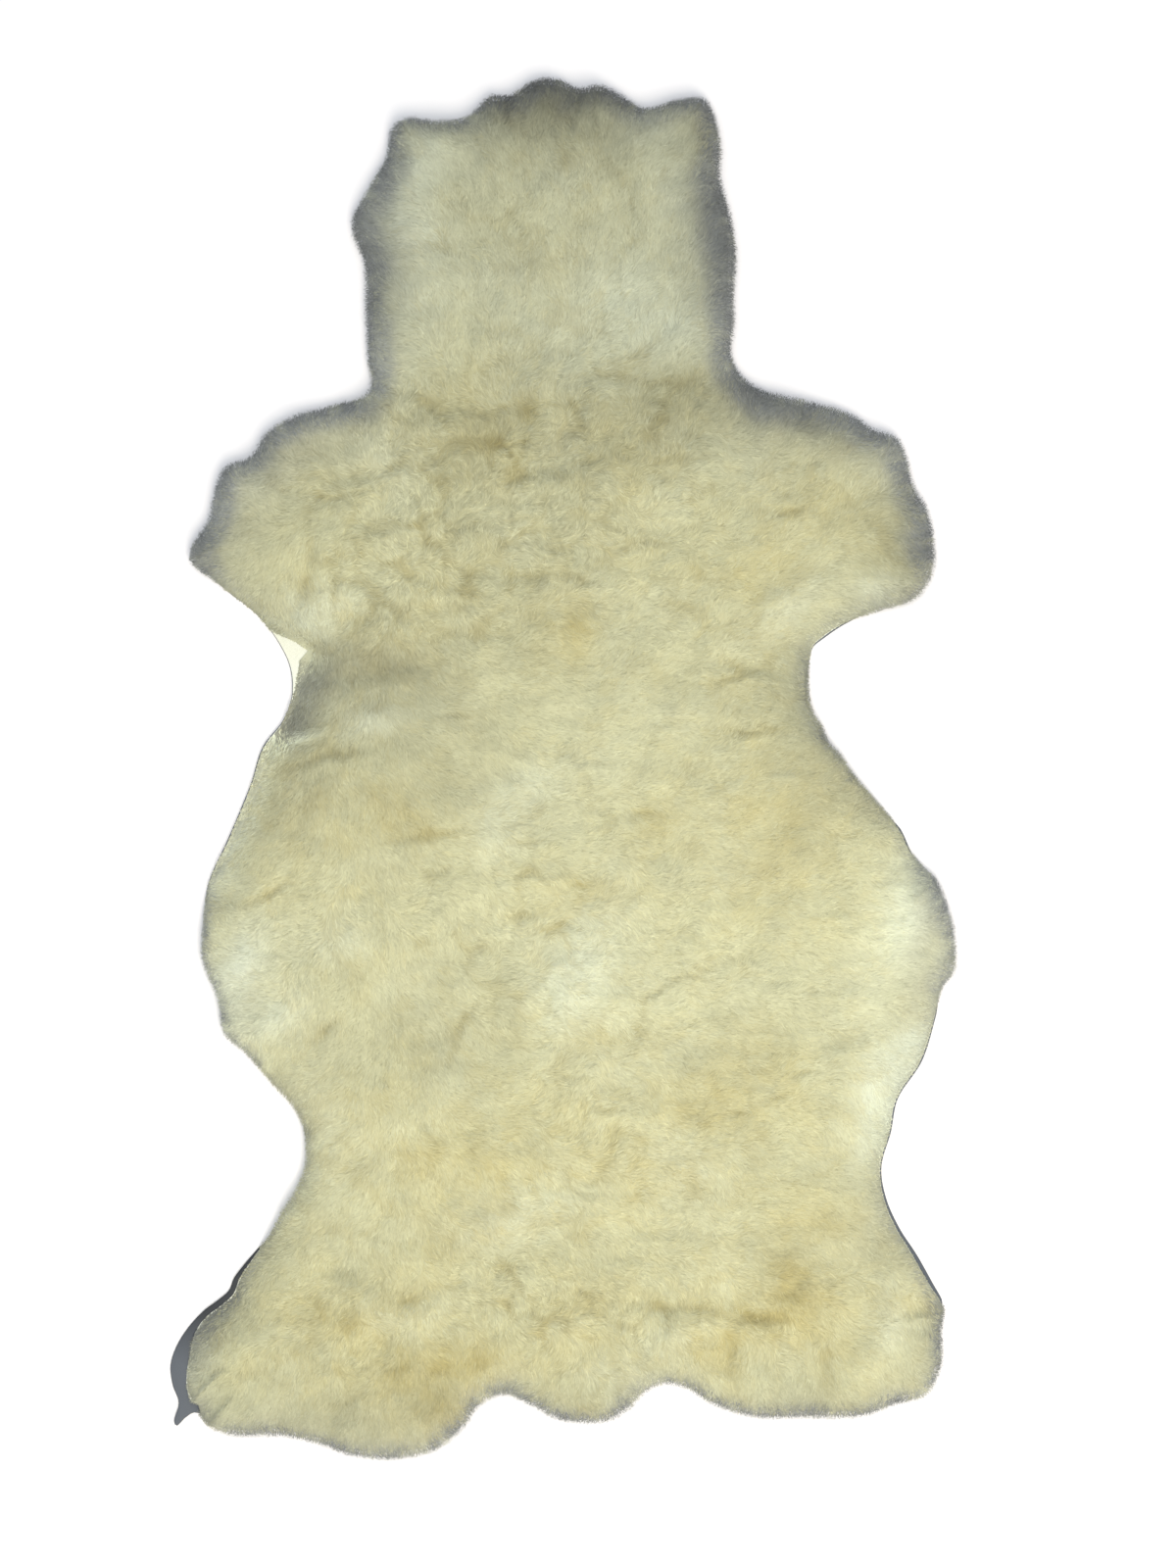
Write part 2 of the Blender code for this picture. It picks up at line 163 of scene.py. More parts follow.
LEFT_FORELEG = (
    (-233, 42, -4), (-226, 65, -5), (-231, 93, -21), (-254, 127, -3),
    (-292, 156, 2), (-311, 171, 8), (-311, 185, 8), (-297, 208, 9),
    (-292, 233, 9), (-282, 253, 9), (-261, 262, 9), (-249, 280, 9),
    (-223, 296, 10), (-188, 305, 10), (-163, 316, 10),
)
LEFT_CHEEK = (
    (-164, 339, 9), (-166, 380, 10), (-167, 419, 10), (-177, 446, 9),
    (-176, 461, 9), (-162, 487, 9),
)
EDGE = (CROWN + RIGHT_CHEEK + RIGHT_FORELEG + RIGHT_FLANK + RIGHT_HIND + TAIL
        + LEFT_HIND + LEFT_FLANK + LEFT_FORELEG + LEFT_CHEEK)

# Where the wool stands up or lies down.
# Columns: x, y, length, width, turn (degrees from +X), rise.
MOUNDS = (
    (-118, 505, 60, 35, 70, 3), (70, 528, 40, 24, 10, 3), (95, 365, 55, 30, 60, 3),
    (-110, 350, 60, 32, 80, 2), (0, 430, 75, 45, 90, 2), (-200, 135, 60, 30, 20, 5),
    (185, 135, 60, 30, 45, 5), (258, 151, 38, 20, 25, 4), (-159, 40, 55, 26, 10, 4),
    (-28, -13, 55, 30, 25, 4), (13, -168, 90, 55, 75, 5), (291, -127, 50, 28, 80, 4),
    (-266, -160, 50, 26, 60, 4), (-233, -205, 36, 22, 40, 4), (-184, -144, 55, 30, 10, 3),
    (-36, -373, 95, 42, 20, 5), (266, -258, 48, 24, 60, 4), (95, -471, 48, 26, 15, 5),
    (29, -496, 45, 26, 0, 4), (-143, -455, 80, 28, 5, 5), (275, -455, 48, 28, 70, 4),
    (95, -328, 80, 40, 10, 3), (-200, -500, 60, 30, 10, 3), (150, 200, 90, 50, 20, 3),
)
TROUGHS = (
    (-85, 298, 75, 22, 5, -4), (86, 310, 75, 22, -8, -4), (-143, 86, 85, 26, 12, -8),
    (-216, -29, 55, 22, 75, -5), (160, -103, 115, 20, 4, -4), (-118, -226, 60, 24, 20, -4),
    (103, -234, 60, 20, 10, -4), (225, -226, 50, 18, 25, -4), (-77, -299, 45, 24, -15, -4),
    (55, -444, 100, 16, 3, -4), (193, -430, 40, 22, 60, -5), (-102, -504, 45, 26, 70, -5),
    (150, 85, 60, 12, -8, -4), (-180, 240, 70, 14, 12, -3), (0, 250, 60, 14, 8, -3),
    (-20, 160, 90, 16, -4, -3), (-60, -80, 90, 20, 8, -2), (-175, -420, 60, 16, -20, -4),
)

# Short partings where the wool opens down to its yellower roots, and is darkened there with painted
# shade.
# Columns: x, y, length, width, turn, depth.
HEAD_PARTINGS = (
    (-31, 417, 74, 11, 100, 1.1), (-81, 474, 24, 6, 117, 1.5), (-39, 455, 28, 6, 120, 1.2),
    (45, 491, 44, 6, 127, 1.2), (59, 439, 34, 6, 45, 1.3), (-98, 432, 43, 6, 160, 1.2),
    (-42, 545, 34, 6, 95, 1.8), (12, 556, 34, 6, 88, 2.0), (30, 528, 30, 6, 100, 1.2),
    (-70, 520, 40, 7, 110, 1.2), (58, 470, 30, 6, 85, 1.2), (112, 520, 30, 8, 70, 1.8),
    (108, 470, 23, 7, 160, 0.9), (-38, 364, 13, 10, 0, 1.2),
)
SHOULDER_PARTINGS = (
    (-30, 304, 25, 15, 90, 3.0), (70, 321, 102, 10, -5, 2.0), (9, 297, 33, 8, 120, 2.0),
    (-50, 262, 24, 9, -45, 2.6), (21, 257, 28, 7, 10, 2.0), (86, 253, 28, 7, 5, 2.0),
    (8, 283, 30, 9, 25, 1.6), (-70, 298, 30, 9, -20, 1.4), (82, 292, 29, 7, 0, 2.0),
    (-137, 253, 26, 8, 35, 2.5), (-104, 253, 33, 7, 0, 2.0), (-203, 243, 41, 7, 0, 2.0),
    (-188, 228, 61, 7, 0, 2.0), (-38, 241, 41, 8, 20, 2.5), (-73, 200, 37, 7, 0, 2.0),
    (-39, 206, 20, 7, 0, 2.0), (-6, 186, 18, 7, -10, 2.0), (-20, 162, 37, 7, 10, 2.0),
    (11, 161, 33, 7, -18, 2.0), (70, 186, 25, 7, 0, 2.0), (189, 216, 25, 8, 10, 2.5),
    (144, 73, 39, 7, 14, 2.0), (152, 31, 45, 7, 8, 2.0), (-212, 176, 65, 7, 80, 1.5),
    (-188, 151, 57, 7, 95, 1.5), (-171, 184, 49, 7, 100, 1.5), (-200, 9, 70, 8, 14, 3.0),
    (-88, 49, 20, 7, 0, 2.0),
)
BACK_PARTINGS = (
    (-110, -54, 70, 7, 8, 2.5), (-106, -86, 28, 7, 8, 2.0), (-35, -123, 25, 7, 8, 2.0),
    (-5, -134, 41, 7, 5, 2.0), (-118, -144, 21, 7, 8, 1.5), (-20, -90, 20, 7, 10, 2.0),
    (13, -99, 18, 7, 10, 1.5), (74, -37, 28, 7, 0, 2.0), (-246, -107, 44, 8, 22, 3.0),
    (-192, -217, 25, 11, 30, 3.0), (-81, -215, 59, 7, 65, 2.0), (111, -168, 46, 7, 22, 1.6),
    (77, -187, 34, 7, 42, 1.6), (64, -209, 28, 7, 85, 1.8), (176, -273, 21, 7, 8, 2.0),
    (149, -283, 21, 7, 8, 2.0), (37, -283, 21, 7, 8, 2.0), (117, -295, 21, 7, 8, 2.0),
    (197, -254, 21, 7, 8, 2.0),
)
RUMP_PARTINGS = (
    (29, -340, 21, 7, 8, 2.0), (101, -448, 82, 10, -8, 2.0), (168, -457, 37, 8, -5, 3.0),
    (-47, -446, 25, 10, 20, 2.0), (-125, -438, 18, 7, 0, 2.0), (-104, -497, 18, 8, 0, 2.0),
    (-139, -497, 25, 7, 38, 2.0), (-180, -526, 29, 7, 28, 2.0), (217, -492, 41, 13, 90, 2.0),
    (141, -492, 41, 13, 90, 2.0),
)
PARTINGS = HEAD_PARTINGS + SHOULDER_PARTINGS + BACK_PARTINGS + RUMP_PARTINGS

# How the wool is combed.  Columns: x, y, spread, heading (degrees from +X, root to tip).
HEAD_COMB = (
    (-110, 519, 45, 130), (-12, 536, 49, 92), (86, 528, 41, 65), (-143, 437, 37, 170),
    (-12, 446, 57, 90), (-86, 397, 41, 105), (62, 405, 41, 72), (123, 437, 33, 40),
    (131, 356, 33, 30), (-147, 356, 33, 180), (-12, 339, 49, 80),
)
SHOULDER_COMB = (
    (-94, 290, 37, 125), (-28, 282, 33, 75), (54, 290, 37, 45), (-159, 266, 41, 155),
    (-225, 257, 41, 145), (-274, 200, 41, 195), (-266, 143, 33, 240), (-200, 176, 37, 225),
    (-184, 118, 33, 262), (-135, 208, 29, 130), (-61, 216, 33, 60), (-28, 151, 37, 8),
    (21, 200, 49, 25), (103, 249, 49, 30), (185, 274, 41, 42), (258, 249, 41, 35),
    (291, 184, 33, -10), (250, 151, 33, -40), (176, 176, 49, 28), (103, 159, 49, 20),
    (-143, 77, 33, 300), (-102, 118, 33, 330), (-110, 36, 37, 325), (-167, 20, 33, 295),
    (-216, 36, 29, 235), (-45, 69, 49, 345), (37, 110, 49, 10), (119, 77, 49, 16),
    (201, 110, 33, -10), (201, 45, 41, 12),
)
BACK_COMB = (
    (37, 4, 57, 8), (135, -13, 49, 8), (-45, -13, 45, 352), (-110, -45, 37, 325),
    (-167, -62, 33, 275), (-225, -78, 37, 225), (-266, -160, 41, 195), (-200, -185, 33, 245),
    (-143, -160, 33, 290), (-77, -135, 41, 335), (-200, -250, 37, 230), (5, -119, 57, 5),
    (103, -135, 57, 10), (217, -62, 49, 8), (283, -127, 41, 0), (225, -176, 49, 5),
    (291, -225, 33, -20), (250, -291, 37, -35), (152, -242, 49, 3), (37, -250, 57, 0),
    (-61, -258, 45, 335), (-135, -266, 37, 285), (-184, -316, 37, 225),
)
RUMP_COMB = (
    (-200, -373, 41, 215), (-135, -356, 33, 265), (-69, -365, 41, 320), (21, -356, 57, 350),
    (119, -356, 57, 355), (217, -356, 49, -12), (266, -414, 41, -25), (-233, -430, 41, 218),
    (-159, -430, 41, 245), (-86, -430, 41, 290), (21, -430, 49, 325), (152, -430, 49, 325),
    (-290, -496, 33, 225), (-225, -520, 37, 252), (-143, -512, 41, 266), (-61, -487, 37, 285),
    (21, -504, 41, 272), (103, -487, 37, 280), (185, -496, 41, 280), (275, -487, 37, 310),
)
COMB = HEAD_COMB + SHOULDER_COMB + BACK_COMB + RUMP_COMB

# Where the wool gathers in curly tufts.  Columns: x, y, length, width, turn, strength.
CURLY = (
    (-20, 265, 330, 130, 0, 0.9), (-125, 175, 190, 170, 20, 1.0), (40, 180, 240, 110, 0, 0.6),
    (0, -120, 330, 160, 0, 0.4), (-230, -180, 90, 160, 0, 0.4), (60, -290, 260, 120, 0, 0.4),
    (0, -440, 480, 110, 0, 0.7), (-60, 440, 200, 120, 0, 0.2),
)

# Washed-out wool, with painted highlights and the cool cast of painted shade among it; then
# yellowed wool.  Columns: x, y, length, width, turn, strength.
PALE_AND_HIGHLIT = (
    (-12, 440, 380, 330, 0, 0.30), (-150, 450, 60, 120, 0, 0.5), (-118, 503, 70, 45, 70, 0.7),
    (70, 528, 50, 30, 10, 0.4), (95, 364, 60, 40, 60, 0.3), (66, 380, 123, 90, 0, 0.5),
    (-126, 372, 57, 98, 0, 0.4), (-61, -62, 49, 74, 0, 0.3), (-200, 135, 70, 40, 20, 0.5),
    (185, 135, 75, 40, 45, 0.45), (258, 151, 45, 25, 25, 0.6), (-159, 40, 60, 30, 10, 0.65),
    (-28, -13, 75, 40, 25, 0.6), (13, -168, 110, 70, 75, 0.75), (284, -125, 90, 46, 80, 0.9),
    (-266, -160, 60, 32, 60, 0.8), (-233, -205, 45, 30, 40, 0.6), (-184, -144, 60, 32, 10, 0.35),
    (-36, -373, 110, 50, 20, 0.55), (266, -258, 70, 40, 60, 0.9), (95, -471, 60, 30, 15, 0.4),
    (29, -496, 60, 30, 0, 0.3), (-143, -455, 90, 34, 5, 0.3), (275, -455, 60, 34, 70, 0.6),
    (95, -328, 100, 50, 10, 0.3), (-255, -17, 110, 22, 72, 0.7), (-274, -62, 50, 18, 68, 0.5),
    (-231, 24, 44, 11, 6, 1.8), (266, -285, 105, 28, 70, 0.9), (287, -234, 50, 22, 55, 0.7),
    (-215, 118, 60, 24, -25, 0.4), (-270, -200, 80, 60, 70, 0.4), (-190, -310, 60, 70, 0, 0.3),
    (254, -170, 50, 120, 0, 0.25), (-290, -95, 40, 40, 0, 0.5), (54, -180, 50, 40, 0, 0.2),
    (5, -465, 60, 30, 0, 0.2), (213, -488, 50, 40, 0, 0.2), (308, -490, 30, 50, 0, 0.3),
    (-69, 515, 60, 50, 60, 0.2), (-112, 442, 50, 40, 0, 0.4), (95, 470, 50, 90, 0, 0.35),
    (-151, 260, 70, 50, 0, 0.35), (144, 262, 70, 60, 0, 0.2), (-257, 241, 60, 40, 0, 0.15),
    (-225, -330, 40, 90, 0, 0.25), (-302, -500, 50, 34, 60, 0.4), (320, -130, 30, 90, 0, 0.3),
    (-298, -130, 20, 90, 0, 0.3), (-216, 66, 20, 50, 0, 0.5),
)
STAINS = (
    (-12, 290, 327, 98, 0, 0.24), (-159, -500, 262, 90, 0, 0.30), (185, -446, 213, 98, 0, 0.30),
    (21, -307, 491, 180, 0, 0.2), (201, -45, 180, 90, 10, 0.25), (-200, -37, 164, 65, 10, 0.25),
    (-12, 151, 377, 164, 0, 0.15), (225, 216, 131, 90, 20, 0.3), (-40, 470, 100, 60, 70, 0.1),
    (10, 114, 60, 32, 90, 0.5), (-129, -41, 90, 40, -30, 0.4), (160, 159, 80, 50, 0, 0.3),
    (176, -78, 100, 60, 60, 0.12), (75, -46, 64, 44, 0, 0.45), (21, -99, 70, 36, 0, 0.3),
    (29, -221, 70, 36, 0, 0.3), (135, -283, 80, 40, 0, 0.3), (-61, -332, 80, 40, 0, 0.3),
    (209, -373, 80, 50, 0, 0.4), (193, -430, 60, 50, 0, 0.35), (-205, -452, 110, 50, -15, 0.3),
    (-77, -491, 60, 40, 0, 0.5), (127, -483, 60, 36, 0, 0.25), (28, -438, 64, 32, 0, 0.36),
    (303, -442, 40, 34, 0, 0.4), (-130, -440, 120, 54, 0, 0.2), (-94, -390, 70, 44, 0, 0.3),
    (92, -341, 80, 40, 0, 0.2), (70, 252, 64, 60, 0, 0.2), (20, -480, 100, 50, 0, 0.25),
    (140, -470, 90, 50, 0, 0.25), (-160, 90, 140, 60, -10, 0.2), (150, 75, 100, 70, 0, 0.2),
    (-60, -320, 300, 80, 0, 0.12), (192, -447, 50, 74, 0, 0.25), (-128, -512, 60, 70, 70, 0.25),
    (-131, -439, 44, 30, 0, 0.3), (-55, -374, 60, 40, 0, 0.2), (-98, -535, 40, 30, 0, 0.3),
    (279, -447, 40, 30, 0, 0.2), (160, -10, 80, 90, 0, 0.15), (62, -111, 50, 40, 0, 0.15),
    (66, -342, 50, 50, 0, 0.2), (164, -243, 70, 40, 0, 0.25), (-90, -537, 50, 30, 0, 0.25),
    (-75, -400, 220, 50, 0, 0.12), (165, 10, 110, 240, 0, 0.1), (170, -110, 120, 40, 0, 0.1),
)

# Painted shade and light, in part the wool's own duller tone: darker, greyer wool where it faces
# away from the light or lies in shade, and lighter where it faces the light.
# Columns: x, y, length, width, turn, how much darker (percent), share of grey.
PAINTED_SHADES = (
    (-8, 560, 188, 72, 0, 45, 0.13), (21, 519, 139, 90, 0, 15, 0), (-12, 429, 393, 344, 0, 20, 0),
    (132, 454, 200, 70, 90, 32, 0.15), (-147, 421, 130, 50, 85, 26, 0.15),
    (130, 385, 140, 40, 90, 0, 0.1), (-120, 512, 70, 60, 0, 8, 0), (-57, 515, 60, 70, 0, 10, 0),
    (-86, 470, 131, 57, 70, 4, 0), (-45, 290, 246, 74, 0, 10, 0), (-77, 249, 90, 50, 0, 9, 0),
    (80, 285, 164, 74, -10, 16, 0), (185, 296, 150, 50, -18, 27, 0.04),
    (230, 270, 180, 50, -25, 0, 0.18), (-225, 257, 164, 115, 10, 8, 0),
    (-262, 245, 150, 60, 40, 0, 0.34), (-290, 182, 70, 40, 30, 18, 0.18),
    (-150, 50, 221, 130, -40, 17, 0.03), (-168, 88, 130, 44, -4, 17, 0.12),
    (-175, 148, 80, 40, 0, -6, 0), (-220, 36, 38, 26, 50, 27, 0.5), (-230, 23, 42, 9, 6, -36, -0.5),
    (-210, 92, 26, 34, 0, -14, 0), (-210, 72, 44, 40, 0, 4, 0.48), (-190, 112, 80, 14, -12, -8, 0),
    (-225, -20, 120, 50, 70, 15, 0.05), (-254, -22, 130, 24, 62, -12, 0),
    (209, 32, 164, 57, 90, 13, 0.05), (170, 60, 110, 80, 0, 11, 0),
    (254, -25, 90, 49, -50, 9, 0.05), (285, 186, 115, 80, 80, 28, 0.04),
    (300, -120, 200, 30, 85, 0, 0.27), (-272, -190, 130, 50, 70, 0, 0.22),
    (-215, -260, 60, 140, 0, 0, 0.10), (262, -385, 50, 80, 0, 0, 0.12),
    (-118, -225, 139, 98, 0, 7, 0), (-94, -195, 70, 120, 0, 5, 0), (-61, 184, 180, 139, 0, 6, 0),
    (-32, -95, 80, 26, 5, -10, 0), (110, -125, 360, 200, 0, -6, 0), (275, -120, 60, 160, 0, -13, 0),
    (-275, -110, 100, 220, 0, -5, 0), (-30, -330, 340, 120, 0, -5, 0),
    (115, -242, 150, 40, 0, 10, 0), (165, -285, 80, 40, 20, -4, 0), (-184, -392, 70, 50, 0, 8, 0),
    (60, -450, 300, 60, 0, -8, 0), (-4, -459, 589, 131, 0, 5, 0),
    (-200, -545, 246, 55, 0, 15, 0.10), (209, -540, 246, 45, 0, 18, 0.03),
    (13, -528, 131, 49, 0, 8, 0.03), (312, -480, 60, 90, 0, 6, 0.12),
    (-128, -510, 70, 60, 70, 8, 0), (-135, 446, 60, 70, 0, -11, 0.08), (122, 345, 40, 50, 0, -8, 0),
    (-150, 325, 40, 40, 0, -12, 0), (262, 250, 50, 40, 0, -6, 0), (66, 250, 80, 40, 0, 6, 0),
    (112, 292, 60, 40, -10, 6, 0), (214, 248, 50, 40, 0, 5, 0), (-190, -10, 120, 60, 10, 4, 0),
    (-235, -40, 60, 40, 60, 4, 0), (-105, 52, 100, 30, 0, 4, 0), (115, 52, 60, 50, 0, 4, 0),
    (112, -48, 60, 40, 30, 6, 0), (66, -194, 50, 30, 0, -4, 0), (130, -145, 200, 50, 0, -3, 0),
    (21, -292, 50, 30, 0, -11, 0), (215, -290, 120, 30, 0, -4, 0), (0, -440, 130, 30, 0, 8, 0),
    (-131, -439, 40, 24, 0, 5, 0), (16, -488, 40, 24, 0, -5, 0), (210, -508, 110, 30, 0, 5, 0),
    (-95, -530, 30, 26, 0, 9, 0), (-190, 270, 140, 60, 10, 0, 0.1), (164, 248, 60, 50, 0, 0, 0.08),
    (-270, -195, 90, 60, 60, -5, 0), (-303, -478, 110, 34, 62, 13, 0.22),
    (78, 519, 50, 30, 0, 6, 0), (-126, 101, 60, 24, 0, 5, 0), (270, -107, 30, 30, 0, 5, 0),
    (300, -440, 36, 34, 0, -8, -0.1), (148, -459, 50, 30, 0, -5, 0),
    (164, 281, 70, 40, -15, 0, 0.1), (-147, 345, 24, 60, 0, -8, 0), (-176, 455, 16, 50, 0, 14, 0.1),
    (138, 475, 90, 12, -80, 11, 0.08), (115, 410, 60, 24, 90, -8, 0), (-81, 540, 30, 20, 0, -7, 0),
    (66, 540, 34, 20, 0, -8, 0), (118, 545, 30, 24, 60, 10, 0.05), (215, 303, 60, 12, -18, -8, 0),
    (196, 284, 50, 16, -18, 8, 0), (303, 192, 40, 20, 80, 7, 0), (197, 114, 50, 26, 30, -7, 0),
    (-286, 202, 30, 30, 0, -8, 0), (-266, 165, 50, 26, -10, 5, 0), (-28, -345, 90, 50, -20, -5, 0),
    (-12, -382, 50, 30, 0, -6, 0), (140, -178, 150, 40, 0, -3, 0), (75, -422, 200, 36, 0, 3, 0),
    (112, -463, 60, 30, 0, -4, 0), (209, -439, 40, 30, 0, -4, 0), (164, -488, 60, 30, 0, 4, 0),
    (-205, -205, 70, 60, 0, -4, 0), (-195, -264, 50, 60, 0, -5, 0), (-250, -10, 60, 16, 62, -6, 0),
    (262, -112, 30, 30, 0, 5, 0), (306, -212, 130, 26, 72, -12, -0.05),
    (-279, -438, 90, 24, 54, 18, 0.3), (-296, -490, 36, 30, 60, -4, 0.05),
    (-208, 88, 20, 34, 60, -10, 0), (-305, -95, 20, 40, 0, 5, 0.1), (-49, -422, 30, 30, 0, -7, 0),
    (-180, -440, 60, 40, 0, -4, 0), (162, 150, 60, 30, 0, -5, 0), (-185, 148, 60, 30, 0, -4, 0),
    (268, -300, 60, 20, 90, -6, 0), (60, -300, 40, 30, 0, -5, 0), (-20, 297, 110, 30, 0, -7, 0),
    (-18, -425, 40, 24, 0, -8, 0), (260, -275, 30, 110, 75, -4, 0),
)

# Leather without any wool, past the thin wool of the belly edges.
# Columns: x, y, length, width, turn, bareness.
BARE = (
    (-225, 101, 38, 9, -23, 1.3), (-230, 92, 22, 15, -55, 1.1), (-227, 76, 28, 8, -85, 0.7),
    (225, 111, 38, 8, 25, 0.9),
)

PAINTED_SHADOW_DARKEST = (-270 * MM, -430 * MM, 0.0)     # where the painted shadow on the band at the left hind is darkest

# Where the cut through the leather leans out and shows.  The widest rows, at the left hind, make
# the band of painted shadow.
# Columns: x, y, length, width, turn, share.
CUTS = (
    (-262, -40, 200, 60, 59, 0.75), (-242, 10, 50, 40, 50, 0.6), (-226, 88, 50, 30, -60, 0.2),
    (224, 112, 50, 30, 36, 1.0), (288, -280, 260, 70, 75, 1.3), (287, -52, 80, 40, -52, 1.4),
    (304, -419, 66, 44, -58, 3.0), (280, -378, 60, 40, -58, 1.2), (-330, -497, 55, 80, 90, 15.5),
    (-285, -440, 90, 50, 45, 5.0), (-314, -538, 46, 34, 20, 7.0),
)

# Painted shade on the rim, grey where the wool curves down away from the light.  Columns: x, y,
# spread, width, strength.
PAINTED_RIM_SHADE = (
    (-165, 400, 90, 24, 1.0), (-172, 455, 60, 32, 1.0), (-100, 545, 50, 14, 0.8),
    (0, 575, 70, 26, 0.95), (75, 555, 40, 12, 0.75), (125, 545, 30, 18, 1.0),
    (140, 440, 110, 30, 1.0), (180, 318, 50, 30, 0.9), (250, 290, 50, 22, 0.8),
    (305, 200, 60, 28, 1.0), (-200, 300, 70, 24, 1.0), (-260, 262, 40, 18, 0.9),
    (-300, 200, 40, 22, 1.0), (-315, -490, 50, 16, 0.5), (-300, -150, 70, 10, 0.7),
    (-225, -330, 80, 8, 0.25), (325, -140, 60, 17, 0.9), (-150, -575, 130, 16, 0.9),
    (0, -545, 90, 16, 0.9), (220, -540, 120, 16, 0.95), (310, -470, 40, 14, 0.7),
    (212, 60, 60, 14, 0.6),
)
BASE_RIM_WIDTH, BASE_RIM_STRENGTH = 10, 0.4     # painted rim shade where none of these rows is near

# The wool's pieces from head to hind.  Columns: name, lowest y.
WOOL_PIECES = (
    ("wool_head", 300), ("wool_shoulders", 70), ("wool_back", -110), ("wool_loin", -325),
    ("wool_rump", -700),
)

TONES = ("pale", "stain", "grey", "shade")      # the chart's layers that colour the wool; grey and shade carry painted shade and light

CHART_SPACING = 2.0 * MM    # distance between the chart's places
CHART_MARGIN = 14.0 * MM    # how far the chart reaches past the edge
TABLE_SIDE = 128            # random numbers along each side of a noise table

# The studio.  A light's place, the side of its square, and its colour.
KEY_LIGHT = ((0.75, -1.75, 2.7), 1.6, "#fff5e6")
FILL_LIGHT = ((-0.2, 0.4, 3.2), 2.4, "#ffffff")
SKY_COLOUR = "#eff4ff"
VIEW_MIDDLE = (21.5 * MM, -11.3 * MM)   # the floor's place in the middle of the picture
FLOOR_HALF = 30.0           # half the side of the floor
SENSOR = 36.0               # height of the camera's sensor in millimetres


def linear(code):
    """The linear colour of an sRGB hex code such as #d8d2a2."""
    parts = [int(code[i:i + 2], 16) / 255 for i in (1, 3, 5)]
    return [part / 12.92 if part <= 0.04045 else ((part + 0.055) / 1.055) ** 2.4
            for part in parts]


def smooth(values, low, high):
    """0 below low, 1 above high, and an even S between them."""
    share = np.clip((values - low) / (high - low), 0.0, 1.0)
    return share * share * (3 - 2 * share)


def drawn(x, y):
    """The place of a point that the tables give."""
    return x * SCALE - DRAWN_MIDDLE.x, y * SCALE - DRAWN_MIDDLE.y


def from_drawn(x, y, centre_x, centre_y):
    """How far places lie from a point that the tables give."""
    middle_x, middle_y = drawn(centre_x, centre_y)
    return x - middle_x, y - middle_y


def nearness(x, y, centre_x, centre_y, spread):
    """1 at a point that the tables give, and falling smoothly round it."""
    away_x, away_y = from_drawn(x, y, centre_x, centre_y)
    return np.exp(-(away_x ** 2 + away_y ** 2) / (spread * MM) ** 2)


# ----------------------------------------------------------------------------------------- settings

class SkinSettings(bpy.types.PropertyGroup):
    """Sizes and colours of the tanned skin."""
    thickness: FloatProperty(
        name="Thickness", description="Thickness of the tanned skin",
        default=2.2 * MM, unit="LENGTH", subtype="DISTANCE")
    curl: FloatProperty(
        name="Edge curl", description="How far the bare leather's cut edge lifts off the floor",
        default=2.0 * MM, unit="LENGTH", subtype="DISTANCE")
    cockle: FloatProperty(
        name="Cockle", description="Depth of the underside's shallow waves",
        default=0.5 * MM, unit="LENGTH", subtype="DISTANCE")
    spacing: FloatProperty(
        name="Point spacing", description="Distance between the points of the skin's mesh",
        default=9.0 * MM, unit="LENGTH", subtype="DISTANCE")
    grain_colour: FloatVectorProperty(
        name="Grain side", description="Colour of the smooth side that the wool grows from",
        default=linear("#f4f8e6"), size=3, subtype="COLOR")
    suede_colour: FloatVectorProperty(
        name="Suede side", description="Colour of the sueded underside",
        default=linear("#e3dcc6"), size=3, subtype="COLOR")
    # Painted shade: the cut edge's dark colour, also used for the painted shadow band at the left
    # hind.
    cut_shade_colour: FloatVectorProperty(
        name="Cut edge", description="Colour of the cut edge and of leather that has dried",
        default=linear("#656b71"), size=3, subtype="COLOR")


